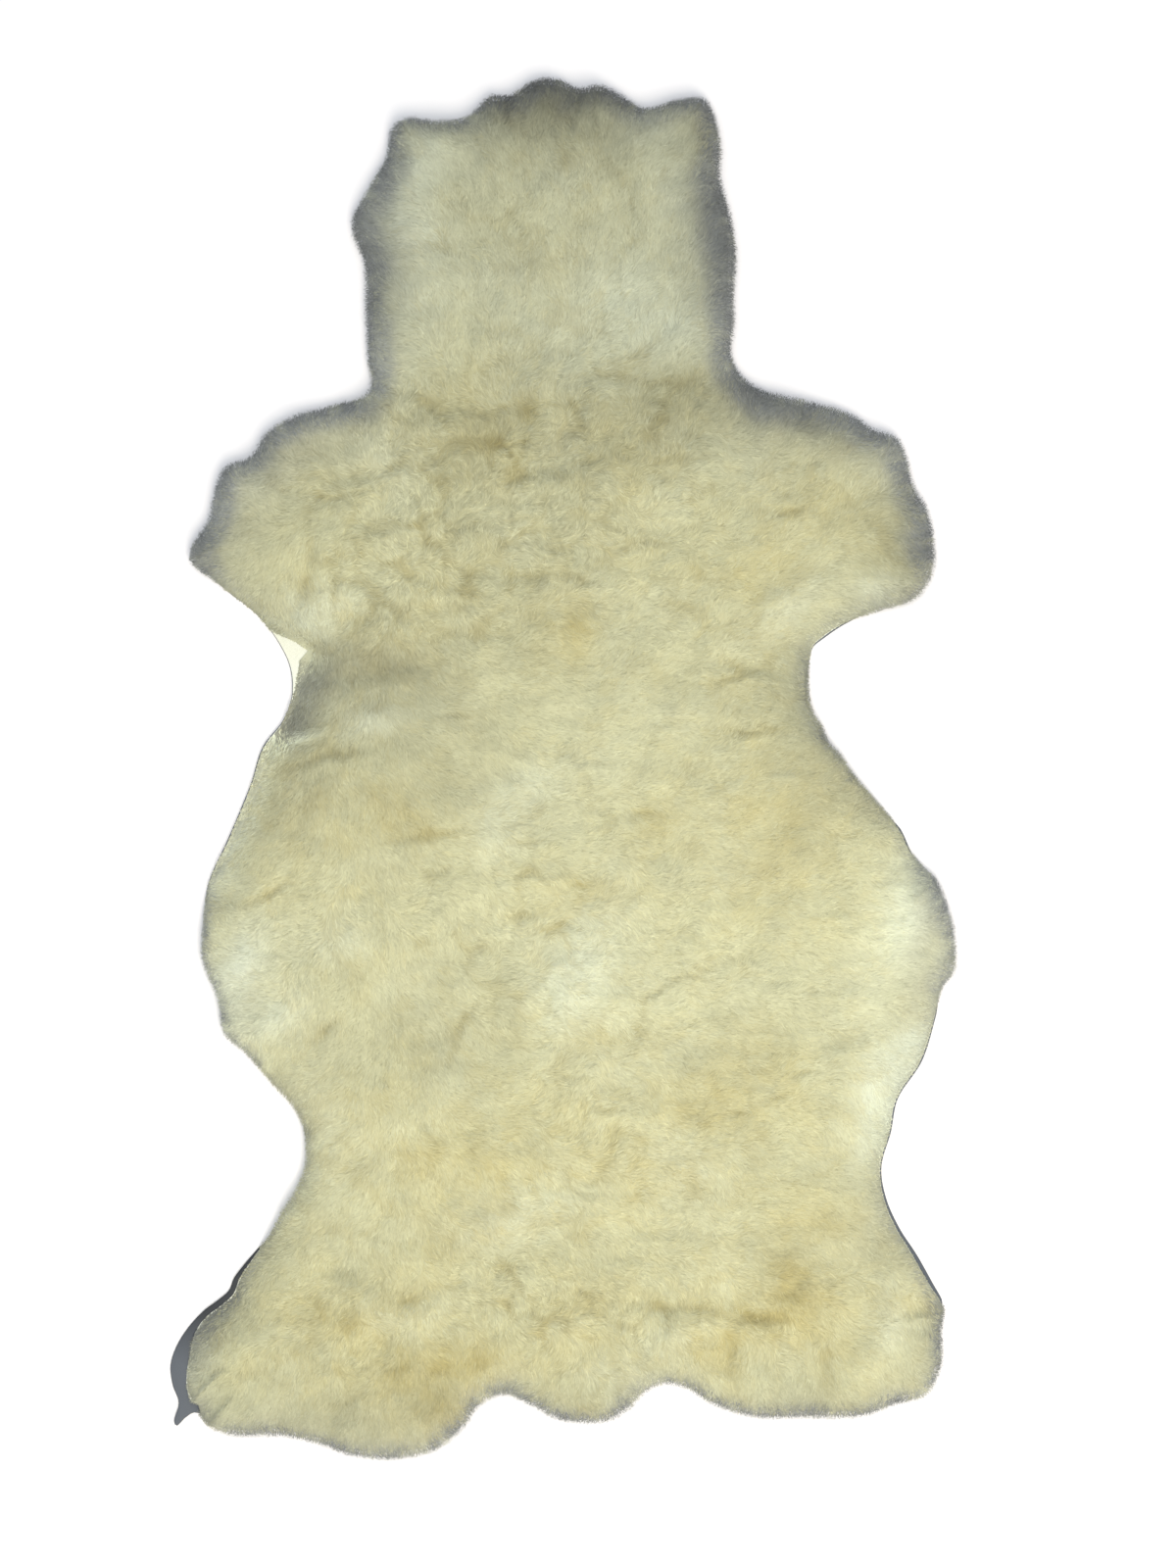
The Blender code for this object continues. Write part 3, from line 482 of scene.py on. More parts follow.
class WoolSettings(bpy.types.PropertyGroup):
    """Sizes and colours of the wool."""
    pile: FloatProperty(
        name="Pile", description="Height of the wool over the back",
        default=26.0 * MM, unit="LENGTH", subtype="DISTANCE")
    bed_spacing: FloatProperty(
        name="Underwool spacing", description="Distance between the points of the underwool's mesh",
        default=4.6 * MM, unit="LENGTH", subtype="DISTANCE")
    bed_depth: FloatProperty(
        name="Underwool depth", description="How far the underwool lies below the wool's tips",
        default=0.5 * MM, unit="LENGTH", subtype="DISTANCE")
    strand_spacing: FloatProperty(
        name="Strand spacing", description="Distance between neighbouring strands",
        default=1.26 * MM, unit="LENGTH", subtype="DISTANCE")
    strand_length: FloatProperty(
        name="Strand length", description="Length of a strand that stands clear of the underwool",
        default=12.0 * MM, unit="LENGTH", subtype="DISTANCE")
    strand_width: FloatProperty(
        name="Strand width", description="Width of a strand, which is a lock of many fibres",
        default=1.15 * MM, unit="LENGTH", subtype="DISTANCE")
    tuft_size: FloatProperty(
        name="Tuft size", description="Distance between the tufts that the wool gathers in",
        default=19.0 * MM, unit="LENGTH", subtype="DISTANCE")
    tuft_rise: FloatProperty(
        name="Tuft rise", description="Height of a tuft over the gaps beside it",
        default=1.6 * MM, unit="LENGTH", subtype="DISTANCE")
    rim_hairs: IntProperty(
        name="Rim hairs", description="Number of long hairs that stand out along the rim",
        default=24000)
    cream: FloatVectorProperty(
        name="Cream", description="Colour of clean wool", default=linear("#cbcba4"),
        size=3, subtype="COLOR")
    # The pale colour also paints highlights where the wool faces the light.
    pale: FloatVectorProperty(
        name="Pale", description="Colour of washed-out wool", default=linear("#dbe1c6"),
        size=3, subtype="COLOR")
    stain: FloatVectorProperty(
        name="Stain", description="Colour of yellowed wool", default=linear("#c0b67e"),
        size=3, subtype="COLOR")
    # Painted shade: the grey of the rim, where the wool curves away from the light.
    grey: FloatVectorProperty(
        name="Grey", description="Colour of the shaded rim", default=linear("#8f9492"),
        size=3, subtype="COLOR")
    root: FloatVectorProperty(
        name="Root", description="Colour deep in the wool", default=linear("#b9b084"),
        size=3, subtype="COLOR")


class StageSettings(bpy.types.PropertyGroup):
    """Camera, floor and light."""
    camera_height: FloatProperty(
        name="Camera height", description="Height of the camera over the floor",
        default=3.0, unit="LENGTH", subtype="DISTANCE")
    view_height: FloatProperty(
        name="View height", description="Stretch of floor that the picture shows top to bottom",
        default=1.3073, unit="LENGTH", subtype="DISTANCE")
    floor_colour: FloatVectorProperty(
        name="Floor", description="Colour of the plain floor", default=linear("#ffffff"),
        size=3, subtype="COLOR")
    key_power: FloatProperty(
        name="Key light", description="Power of the broad warm light at the hind end",
        default=66.3, unit="POWER")
    fill_power: FloatProperty(
        name="Fill light", description="Power of the broad light overhead",
        default=36.0, unit="POWER")
    sky_strength: FloatProperty(
        name="Ambient", description="Strength of the even cool light from all round",
        default=0.50, min=0.0)


# --------------------------------------------------------------------------------- the pelt's chart

class Edge:
    """The pelt's edge as a smooth closed curve that carries its reach."""

    def __init__(self, rows):
        knots = [Vector(drawn(*row[:2])) for row in rows]
        count = len(knots)
        points = []
        for i, start in enumerate(knots):
            before, end, after = knots[i - 1], knots[(i + 1) % count], knots[(i + 2) % count]
            handle = (end - start).length / 3
            leave = start + (end - before).normalized() * handle
            arrive = end - (after - start).normalized() * handle
            span = interpolate_bezier(start, leave, arrive, end, SPAN_STEPS + 1)[:-1]
            for step, point in enumerate(span):
                share = step / SPAN_STEPS
                reach = rows[i][2] * (1 - share) + rows[(i + 1) % count][2] * share
                points.append((point.x, point.y, reach * MM))
        self.table = np.array(points + points[:1])
        steps = np.linalg.norm(np.diff(self.table[:, :2], axis=0), axis=1)
        self.distance = np.concatenate(([0.0], np.cumsum(steps)))
        self.length = float(self.distance[-1])

    def at(self, distances):
        """Places and reaches at distances along the edge."""
        x, y, reach = (np.interp(distances % self.length, self.distance, column)
                       for column in self.table.T)
        return np.stack((x, y), axis=1), reach

    def inward(self, distances):
        """Level directions into the pelt, smoothed over a short stretch of edge."""
        along = self.at(distances + EDGE_BLUR)[0] - self.at(distances - EDGE_BLUR)[0]
        along /= np.linalg.norm(along, axis=1, keepdims=True)
        return np.stack((along[:, 1], -along[:, 0]), axis=1)

    def corners(self):
        """The lower left and upper right corners of the edge's box."""
        return self.table[:, :2].min(axis=0), self.table[:, :2].max(axis=0)

    def evenly(self, spacing):
        """Distances along the whole edge, about `spacing` apart."""
        return np.arange(round(self.length / spacing)) * self.length / round(self.length / spacing)

    def inset(self, distances, depths):
        """The places `depths` inside the edge."""
        return self.at(distances)[0] + self.inward(distances) * np.reshape(depths, (-1, 1))


def swells(x, y, rows):
    """Sum of the rows' long smooth swells, each as high as its last column."""
    total = np.zeros_like(x)
    for centre_x, centre_y, length, width, turn, rise in rows:
        away_x, away_y = from_drawn(x, y, centre_x, centre_y)
        cos, sin = math.cos(math.radians(turn)), math.sin(math.radians(turn))
        along = 2 * (away_x * cos + away_y * sin) / (length * MM)
        across = 2 * (away_y * cos - away_x * sin) / (width * MM)
        total += rise * np.exp(-along * along - across * across)
    return total


def ripple(x, y, size, seed):
    """Smooth unevenness from -1 to 1 with waves about `size` across; each use has its own seed."""
    table = np.random.default_rng(seed).uniform(-1, 1, (TABLE_SIDE, TABLE_SIDE))
    column, right = np.divmod(x / size, 1.0)
    row, up = np.divmod(y / size, 1.0)
    column, row = column.astype(int), row.astype(int)
    right, up = smooth(right, 0, 1), smooth(up, 0, 1)
    corners = [table[(row + j) % TABLE_SIDE, (column + i) % TABLE_SIDE]
               for j in (0, 1) for i in (0, 1)]
    low = corners[0] + (corners[1] - corners[0]) * right
    high = corners[2] + (corners[3] - corners[2]) * right
    return low + (high - low) * up


def cells(x, y, size, seed):
    """For tufts about `size` apart: each place's way from its tuft's middle, and its chance.

    The way is in tuft sizes, and the chance is a number from 0 to 1 that is the tuft's own.
    """
    table = np.random.default_rng(seed).random((TABLE_SIDE, TABLE_SIDE, 3))
    column, row = np.floor(x / size).astype(int), np.floor(y / size).astype(int)
    best = np.full(x.shape, np.inf)
    away_x, away_y, chance = np.zeros_like(x), np.zeros_like(x), np.zeros_like(x)
    for j in (-1, 0, 1):
        for i in (-1, 0, 1):
            cell = table[(row + j) % TABLE_SIDE, (column + i) % TABLE_SIDE]
            off_x = x - (column + i + cell[..., 0]) * size
            off_y = y - (row + j + cell[..., 1]) * size
            square = off_x * off_x + off_y * off_y
            nearer = square < best
            best = np.where(nearer, square, best)
            away_x = np.where(nearer, off_x, away_x)
            away_y = np.where(nearer, off_y, away_y)
            chance = np.where(nearer, cell[..., 2], chance)
    return away_x / size, away_y / size, chance


class Chart:
    """The pelt's fleece, charted at evenly spaced places and read by blending the nearest four.

    The main layers, in metres where they are lengths:
    depth               how far inside the edge a place is
    reach, hanging      the nearest edge's reach, and 0 to 1 for how fully its locks hang
    out_x, out_y        the level way out to that edge
    lay_x, lay_y        the way the wool is combed
    start, foot         where inside the edge the wool's rim begins, and its height there
    height              the height of the wool's tips
    rooted              how far inside the edge its outermost roots stand
    """

    def __init__(self, pile, leather, curl, tuft_size, tuft_rise):
        self.edge = Edge(EDGE)
        self.low, high = self.edge.corners()
        self.low -= CHART_MARGIN
        high += CHART_MARGIN
        self.columns, self.rows = (int(n) for n in np.ceil((high - self.low) / CHART_SPACING) + 1)
        x, y = np.meshgrid(self.low[0] + CHART_SPACING * np.arange(self.columns),
                           self.low[1] + CHART_SPACING * np.arange(self.rows))
        self.layers = {}
        self.chart_edge(x, y)
        self.chart_lay(x, y)
        self.chart_tufts(x, y, tuft_size)
        self.chart_height(x, y, pile, leather, curl, tuft_rise)
        self.chart_rim(x, y)
        self.chart_tones(x, y)

    def read(self, x, y, *names):
        """The named layers' values at places."""
        # The last column and row have none after them to blend with, so places stay just short.
        across = np.clip((x - self.low[0]) / CHART_SPACING, 0, self.columns - 1.001)
        upward = np.clip((y - self.low[1]) / CHART_SPACING, 0, self.rows - 1.001)
        column, row = across.astype(int), upward.astype(int)
        right, up = across - column, upward - row
        found = []
        for name in names:
            layer = self.layers[name]
            low = layer[row, column] * (1 - right) + layer[row, column + 1] * right
            high = layer[row + 1, column] * (1 - right) + layer[row + 1, column + 1] * right
            found.append(low * (1 - up) + high * up)
        return found if len(found) > 1 else found[0]

    def chart_edge(self, x, y):
        """Depth inside the edge, the nearest edge's reach, and the way out to it."""
        distances = self.edge.evenly(EDGE_STEP)
        places, reaches = self.edge.at(distances)
        inward = self.edge.inward(distances)
        tree = kdtree.KDTree(len(places))
        for i, place in enumerate(places):
            tree.insert((place[0], place[1], 0.0), i)
        tree.balance()
        found = [tree.find((px, py, 0.0)) for px, py in zip(x.ravel(), y.ravel())]
        nearest = np.array([match[1] for match in found]).reshape(x.shape)
        away = np.array([match[2] for match in found]).reshape(x.shape)
        way = inward[nearest]
        inside = (x - places[nearest, 0]) * way[..., 0] + (y - places[nearest, 1]) * way[..., 1]
        self.layers["depth"] = np.where(inside > 0, away, -away)
        self.layers["reach"] = reaches[nearest]
        self.layers["hanging"] = np.clip(reaches[nearest] / OVERHANG, 0, 1)
        self.layers["out_x"], self.layers["out_y"] = -way[..., 0], -way[..., 1]
        self.around = distances[nearest]    # how far along the edge its nearest place is
        cut = swells(x, y, CUTS)
        self.layers["lean"] = CUT_SLOPE * cut
        self.layers["cut_line"] = (CUT_LINE * np.minimum(cut, 1)
                                   + CUT_SLOPE * np.maximum(cut - 1, 0))
        self.layers["bare"] = np.clip(1.5 * swells(x, y, BARE), 0, 1)

    def line(self, distances, inside):
        """The line along which `inside` turns positive, less what lies nearer to another edge."""
        inset = np.zeros(len(distances))
        for _ in range(LINE_STEPS):
            places = self.edge.inset(distances, inset)
            inset += LINE_STEP * (inside(self, places[:, 0], places[:, 1]) < 0)
        places = self.edge.inset(distances, inset)
        return places[self.read(places[:, 0], places[:, 1], "depth") > 0.85 * inset]

    def chart_lay(self, x, y):
        """The wool's heading: combed over the body, and outward along the rim."""
        lay_x, lay_y = np.zeros_like(x), np.zeros_like(x)
        for centre_x, centre_y, spread, heading in COMB:
            weight = nearness(x, y, centre_x, centre_y, spread)
            lay_x += weight * math.cos(math.radians(heading))
            lay_y += weight * math.sin(math.radians(heading))
        length = np.hypot(lay_x, lay_y) + 1e-9
        outward = 1 - smooth(self.layers["depth"], 2 * MM, RIM_LAY)
        outward *= 0.15 + 0.85 * self.layers["hanging"]
        lay_x = lay_x / length * (1 - outward) + self.layers["out_x"] * outward * 1.3
        lay_y = lay_y / length * (1 - outward) + self.layers["out_y"] * outward * 1.3
        length = np.hypot(lay_x, lay_y) + 1e-9
        self.layers["lay_x"], self.layers["lay_y"] = lay_x / length, lay_y / length

    def chart_tufts(self, x, y, tuft_size):
        """How the wool gathers: tufts with curls round them, gaps between them, and streaks."""
        strayed_x = x + TUFT_DRIFT * ripple(x, y, TUFT_DRIFT_WAVE, 1)
        strayed_y = y + TUFT_DRIFT * ripple(x, y, TUFT_DRIFT_WAVE, 2)
        away_x, away_y, chance = cells(strayed_x, strayed_y, tuft_size, 3)
        gathered = np.clip(0.25 + swells(x, y, CURLY) + 0.25 * ripple(x, y, 60 * MM, 4), 0.1, 1.2)
        apart = np.sqrt(away_x ** 2 + away_y ** 2)
        turned = np.arctan2(away_y, away_x) * np.where(chance > 0.5, 1, -1)
        curls = (gathered * np.cos(2 * math.pi * apart * tuft_size / CURL_RING + turned)
                 * smooth(apart, 0.05, 0.2) * (1 - smooth(apart, 0.45, 0.75)))
        gap = (gathered * smooth(apart, 0.42, 0.75)
               * smooth(ripple(x, y, 38 * MM, 11), -0.2, 0.5))
        level = self.layers["lay_x"] ** 2
        streaks = (level * ripple(x, y * 4, STREAK_LENGTH, 5)
                   + (1 - level) * ripple(x * 4, y, STREAK_LENGTH, 5))
        self.layers.update(tuft_x=away_x, tuft_y=away_y, tuft=chance, apart=apart, gap=gap,
                           gathered=gathered, curls=curls, streaks=streaks,
                           parted=self.partings(x, y))

    def partings(self, x, y):
        """Depth of the wavy partings in millimetres."""
        strayed_x, strayed_y = x, y
        for i, (drift, wave) in enumerate(PARTING_DRIFTS):
            strayed_x = strayed_x + drift * ripple(x, y, wave, 12 + i)
            strayed_y = strayed_y + drift * ripple(x, y, wave, 14 + i)
        return swells(strayed_x, strayed_y, PARTINGS)

    def full_height(self, x, y, pile, tuft_rise):
        """The height of the wool's tips away from the rim."""
        # The same clumps as the solid's, in the frame of the drawn edge.
        flat_x, flat_y = (x + DRAWN_MIDDLE.x).ravel(), (y + DRAWN_MIDDLE.y).ravel()
        clumps = np.array([noise.noise(Vector((px, py, 0)) / CLUMP_SIZE)
                           + FINE_SHARE * noise.noise(Vector((px, py, 0)) / CLUMP_SIZE * 2)
                           for px, py in zip(flat_x, flat_y)]).reshape(x.shape)
        top = (pile + swells(x, y, MOUNDS + TROUGHS) * MM + CLUMP_RISE * clumps
               - self.layers["parted"] * MM)
        square = self.layers["tuft_x"] ** 2 + self.layers["tuft_y"] ** 2
        dome = 1 - np.minimum(square * 2.2, 1)
        top += (tuft_rise * self.layers["gathered"]
                * (dome - 0.5 + 0.5 * (self.layers["tuft"] - 0.5)))
        return top + STREAK_RISE * self.layers["streaks"]

    def chart_height(self, x, y, pile, leather, curl, tuft_rise):
        """The height of the wool's tips, its slopes, and where its outermost roots stand."""
        depth, reach, hanging = (self.layers[name] for name in ("depth", "reach", "hanging"))
        lifted = (curl * smooth(-reach, -1 * MM, 3 * MM)
                  * np.clip(1 - depth / EDGE_LIFT, 0, 1) ** 2
                  * (0.7 + 0.6 * ripple(x, y, LIFT_WAVE, 21)))
        foot = leather + (RIM_HEIGHT - leather) * hanging + lifted
        start = np.maximum(-reach, 0) + RIM_INSET * np.maximum(reach, 0)
        roundness = BELLY_ROUND + (RIM_ROUND - BELLY_ROUND) * hanging
        rise = np.clip((depth - start) / roundness, 0, 1)
        profile = (hanging * np.sqrt(1 - (1 - rise) ** 2)
                   + (1 - hanging) * np.sin(rise * math.pi / 2))
        height = foot + (self.full_height(x, y, pile, tuft_rise) - foot) * profile
        fall = np.clip((start - depth) / (start + RIM_TIP * hanging + 1e-6), 0, 1)
        rim = foot * np.sqrt(1 - fall ** 2)
        height = np.where(depth < start, np.where(reach > 0, rim, foot), height)
        height += CURL_RIDGE * self.layers["curls"] * smooth(depth - start, 0, 20 * MM)
        slope_y, slope_x = np.gradient(height, CHART_SPACING)
        thin = self.layers["bare"] * start * (1 + 0.12 * ripple(x, y, 5 * MM, 42))
        rooted = np.where(reach > WOOLLY, 0.3 * reach, np.maximum(thin, self.layers["cut_line"]))
        self.layers.update(start=start, foot=foot, height=height, slope_x=slope_x,
                           slope_y=slope_y, lifted=lifted, rooted=rooted)

    def chart_rim(self, x, y):
        """Painted shade on the rim: how grey it is, and the darker locks that reach in from it."""
        depth = self.layers["depth"]
        total, width, strength = np.zeros_like(x), np.zeros_like(x), np.zeros_like(x)
        for centre_x, centre_y, spread, row_width, row_strength in PAINTED_RIM_SHADE:
            weight = nearness(x, y, centre_x, centre_y, spread)
            total += weight
            width += weight * row_width
            strength += weight * row_strength
        named = np.clip(1.2 * total, 0, 1)
        total += 1e-9
        width = (BASE_RIM_WIDTH + named * (width / total - BASE_RIM_WIDTH)) * MM
        strength = BASE_RIM_STRENGTH + named * (strength / total - BASE_RIM_STRENGTH)
        width *= 1 + 0.2 * ripple(x, y, 16 * MM, 6)
        grey = strength * (0.8 * (1 - smooth(depth, 0.3 * width, 1.3 * width))
                           + 0.2 * (1 - smooth(depth, 0.3 * width, 2.4 * width)))
        around = self.around + 3 * MM * ripple(x, y, 11 * MM, 63)
        locks = (ripple(around, depth * 0.25, RIM_LOCKS[0], 61)
                 + 0.6 * ripple(around, depth * 0.25, RIM_LOCKS[1], 62))
        locks *= (1 - smooth(depth, *RIM_LOCK_DEPTHS)) * self.layers["hanging"]
        self.layers.update(rim_grey=grey, locks=locks)

    def chart_tones(self, x, y):
        """How pale, stained, grey and bright the wool is: its own tones, with painted shade and
        light.
        """
        bare, locks, gap = (self.layers[name] for name in ("bare", "locks", "gap"))
        # Painted shade and light from the table, in part the wool's duller tone.
        darker = swells(x, y, [row[:6] for row in PAINTED_SHADES])
        cooler = swells(x, y, [row[:5] + row[6:] for row in PAINTED_SHADES])
        parted = np.clip(self.layers["parted"], 0, 3)
        between = self.layers["gathered"] * smooth(self.layers["apart"], 0.3, 0.7)
        # Painted shade: the rim's grey, streaked by its locks, and the table's grey.
        grey = self.layers["rim_grey"] * (1 + 0.4 * locks) + cooler
        pale = swells(x, y, PALE_AND_HIGHLIT) + 0.6 * bare + 0.15 * ripple(x, y, 45 * MM, 8)
        stain = (swells(x, y, STAINS) + 0.1 * ripple(x, y, 55 * MM, 9)
                 + 0.14 * parted + 0.3 * gap + 0.1 * between)
        # Random unevenness, with painted shade along the streaks and curls.
        uneven = (1 + 0.03 * ripple(x, y, 60 * MM, 7) + 0.05 * ripple(x, y, 22 * MM, 10)
                  + 0.035 * self.layers["streaks"] + 0.03 * self.layers["curls"])
        # Painted shade: darker along the rim's locks, in the partings and in the gaps between
        # tufts.
        shade = ((1 - 0.1 * locks) * (1 + 0.2 * bare) * (1 - 0.01 * darker)
                 * (1 - 0.06 * parted) * (1 - 0.14 * gap) * uneven)
        self.layers.update(grey=np.clip(grey * (1 - 0.7 * bare), 0, 1), pale=np.clip(pale, 0, 1),
                           stain=np.clip(stain, 0, 1), shade=shade)


@functools.cache
def pelt_chart(pile, leather, curl, tuft_size, tuft_rise):
    """The chart, worked out once for the pieces that share it."""
    return Chart(pile, leather, curl, tuft_size, tuft_rise)


def chart_of(scene):
    """The chart for the scene's settings."""
    wool, skin = scene.sheepskin_wool, scene.sheepskin_skin
    return pelt_chart(wool.pile, skin.thickness, skin.curl, wool.tuft_size, wool.tuft_rise)


# --------------------------------------------------------------------------------------- materials

def add_node(tree, kind, inputs=None, **settings):
    """Adds a node with its settings; an input is given a value, or an output to link."""
    node = tree.nodes.new(kind)
    for name, value in settings.items():
        setattr(node, name, value)
    for name, value in (inputs or {}).items():
        if isinstance(value, bpy.types.NodeSocket):
            tree.links.new(value, node.inputs[name])
        else:
            node.inputs[name].default_value = value
    return node


def new_material(name, **constants):
    """A material and its shader, with the shader's constant sockets set."""
    made = bpy.data.materials.new(name)
    made.use_nodes = True
    shader = made.node_tree.nodes["Principled BSDF"]
    for socket, value in constants.items():
        shader.inputs[socket.replace("_", " ")].default_value = value
    return made, made.node_tree, shader


def mixed(tree, factor, first, second, blend="MIX"):
    """The colour that mixes the second into the first."""
    # A Mix node takes its factor at socket 0 and colours at 6 and 7, and gives one at 2.
    node = add_node(tree, "ShaderNodeMix", {0: factor, 6: first, 7: second},
                    data_type="RGBA", blend_type=blend)
    return node.outputs[2]


def scaled(tree, colour, factor):
    """The colour made brighter or darker by a factor."""
    node = add_node(tree, "ShaderNodeVectorMath", {"Vector": colour, "Scale": factor},
                    operation="SCALE")
    return node.outputs["Vector"]


def fleece_colour(tree, wool):
    """Wool colour from the fleece attribute: red pale, green stain, blue the grey of painted shade,
    alpha brightness with painted shade and light in it.
    """
    fleece = add_node(tree, "ShaderNodeAttribute", attribute_name="fleece")
    parts = add_node(tree, "ShaderNodeSeparateColor", {"Color": fleece.outputs["Color"]})
    colour = mixed(tree, parts.outputs["Red"], (*wool.cream, 1), (*wool.pale, 1))
    colour = mixed(tree, parts.outputs["Green"], colour, (*wool.stain, 1))
    colour = mixed(tree, parts.outputs["Blue"], colour, (*wool.grey, 1))
    return colour, fleece.outputs["Alpha"]


def combed_fleece(wool):
    """Clean sheep's wool, combed and clipped.

    Wool is keratin with scaly fibres far finer than a strand here, so it has no gloss, only a soft
    sheen at a grazing view.  Colour darkens and warms from the tip to the root.
    """
    made, tree, shader = new_material("combed_fleece", Roughness=0.92, Sheen_Weight=0.12,
                                      Sheen_Roughness=0.6, Specular_IOR_Level=0.15)
    colour, bright = fleece_colour(tree, wool)
    along = add_node(tree, "ShaderNodeAttribute", attribute_name="along")
    rooted = add_node(tree, "ShaderNodeMapRange", {"Value": along.outputs["Fac"],
                                                   "From Min": 0.0, "From Max": 0.8,
                                                   "To Min": 0.15, "To Max": 0.0})
    colour = mixed(tree, rooted.outputs["Result"], colour, (*wool.root, 1))
    tree.links.new(scaled(tree, colour, bright), shader.inputs["Base Color"])
    return made


def underwool(wool):
    """The dense curly wool below the tips, mixed toward its root colour in small random patches."""
    made, tree, shader = new_material("underwool", Roughness=0.95, Specular_IOR_Level=0.1)
    colour, bright = fleece_colour(tree, wool)
    place = add_node(tree, "ShaderNodeTexCoord")
    curls = add_node(tree, "ShaderNodeTexNoise", {"Vector": place.outputs["Object"],
                                                  "Scale": 1 / (1.5 * MM), "Detail": 3.0})
    dark = add_node(tree, "ShaderNodeMapRange", {"Value": curls.outputs["Fac"],
                                                 "From Min": 0.3, "From Max": 0.7,
                                                 "To Min": 0.2, "To Max": 0.0})
    colour = mixed(tree, dark.outputs["Result"], colour, (*wool.root, 1))
    bump = add_node(tree, "ShaderNodeBump", {"Height": curls.outputs["Fac"],
                                             "Distance": 0.8 * MM, "Strength": 0.6})
    tree.links.new(scaled(tree, colour, bright), shader.inputs["Base Color"])
    tree.links.new(bump.outputs["Normal"], shader.inputs["Normal"])
    return made


def leather(name, colour, grain, roughness, blotch, shadow_darkest_at=None):
    """Tanned sheepskin, a matte hide that is smooth on its grain side and napped where sueded.

    `grain` is the size of its pores or nap, and `blotch` how much darker its patches are.  With
    `shadow_darkest_at` it darkens toward that place instead of in patches, a painted shadow.
    """
    made, tree, shader = new_material(name, Specular_IOR_Level=0.35, Roughness=roughness)
    place = add_node(tree, "ShaderNodeTexCoord").outputs["Object"]
    fine = add_node(tree, "ShaderNodeTexNoise", {"Vector": place, "Scale": 1 / grain,
                                                 "Detail": 4.0})
    dark = [part * (1 - blotch) * warmth for part, warmth in zip(colour, (1.0, 0.98, 0.94))]
    if shadow_darkest_at:
        away = add_node(tree, "ShaderNodeVectorMath", {0: place, 1: shadow_darkest_at},
                        operation="DISTANCE")
        spread = add_node(tree, "ShaderNodeMapRange", {"Value": away.outputs["Value"],
                                                       "From Min": 35 * MM, "From Max": 80 * MM})
    else:
        patches = add_node(tree, "ShaderNodeTexNoise", {"Vector": place, "Scale": 1 / (45 * MM),
                                                        "Detail": 5.0, "Roughness": 0.6})
        spread = add_node(tree, "ShaderNodeMapRange", {"Value": patches.outputs["Fac"],
                                                       "From Min": 0.35, "From Max": 0.65})
    tone = mixed(tree, spread.outputs["Result"], (*dark, 1), (*colour, 1))
    fleck = add_node(tree, "ShaderNodeMapRange", {"Value": fine.outputs["Fac"],
                                                  "From Min": 0.3, "From Max": 0.7,
                                                  "To Min": 0.9, "To Max": 1.04})
    bump = add_node(tree, "ShaderNodeBump", {"Height": fine.outputs["Fac"],
                                             "Distance": 0.15 * MM, "Strength": 0.5})
    tree.links.new(scaled(tree, tone, fleck.outputs["Result"]), shader.inputs["Base Color"])
    tree.links.new(bump.outputs["Normal"], shader.inputs["Normal"])
    return made


# ------------------------------------------------------------------------------------------ pieces

def even_grid(low, high, spacing):
    """Places of equal triangles over a box."""
    row_height = spacing * math.sqrt(3) / 2
    columns = np.arange(low[0], high[0], spacing)
    rows = np.arange(low[1], high[1], row_height)
    x, y = np.meshgrid(columns, rows)
    x = x + (np.arange(len(rows)) % 2)[:, None] * spacing / 2
    return x.ravel(), y.ravel()


def add_sheet(bm, ring, points):
    """A level triangulated sheet over the ring and the points inside it."""
    flat = [Vector(point) for point in np.vstack((ring, points)).tolist()]
    places, _, faces, _, _, _ = delaunay_2d_cdt(flat, [], [list(range(len(ring)))], INSIDE_ONLY,
                                                SAME_POINT)
    vertices = [bm.verts.new((place.x, place.y, 0.0)) for place in places]
    for face in faces:
        bm.faces.new([vertices[i] for i in face])


def finished(bm, name, *materials):
    """The bmesh as a new smooth object that rides with the pelt."""
    mesh = bpy.data.meshes.new(name)
    bm.to_mesh(mesh)
    bm.free()
    mesh.shade_smooth()
    return new_piece(name, mesh, *materials)


def new_piece(name, mesh, *materials):
    """An object for the mesh, with its materials, that rides with the pelt and stands for it."""
    for made in materials:
        mesh.materials.append(made)
    piece = bpy.data.objects.new(name, mesh)
    bpy.context.scene.collection.objects.link(piece)
    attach(piece, "root")
    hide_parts("pelt")
    return piece


def place_array(vertices):
    """The vertices' places as an array."""
    return np.array([vertex.co for vertex in vertices])


def tones(chart, x, y, rng, uneven, spread):
    """Fleece values read about `spread` away from places, and uneven in brightness by chance."""
    off_x, off_y = rng.normal(0, spread, (2, len(x)))
    pale, stain, grey, shade = chart.read(x + off_x, y + off_y, *TONES)
    shade = shade * (1 + uneven * rng.standard_normal(len(x)))
    return np.stack((pale, stain, grey, shade), axis=1)


def set_fleece(mesh, values):
    """Stores the fleece attribute, one row for each vertex."""
    layer = mesh.attributes.new("fleece", "FLOAT_COLOR", "POINT")
    layer.data.foreach_set("color", values.astype(np.float32).ravel())


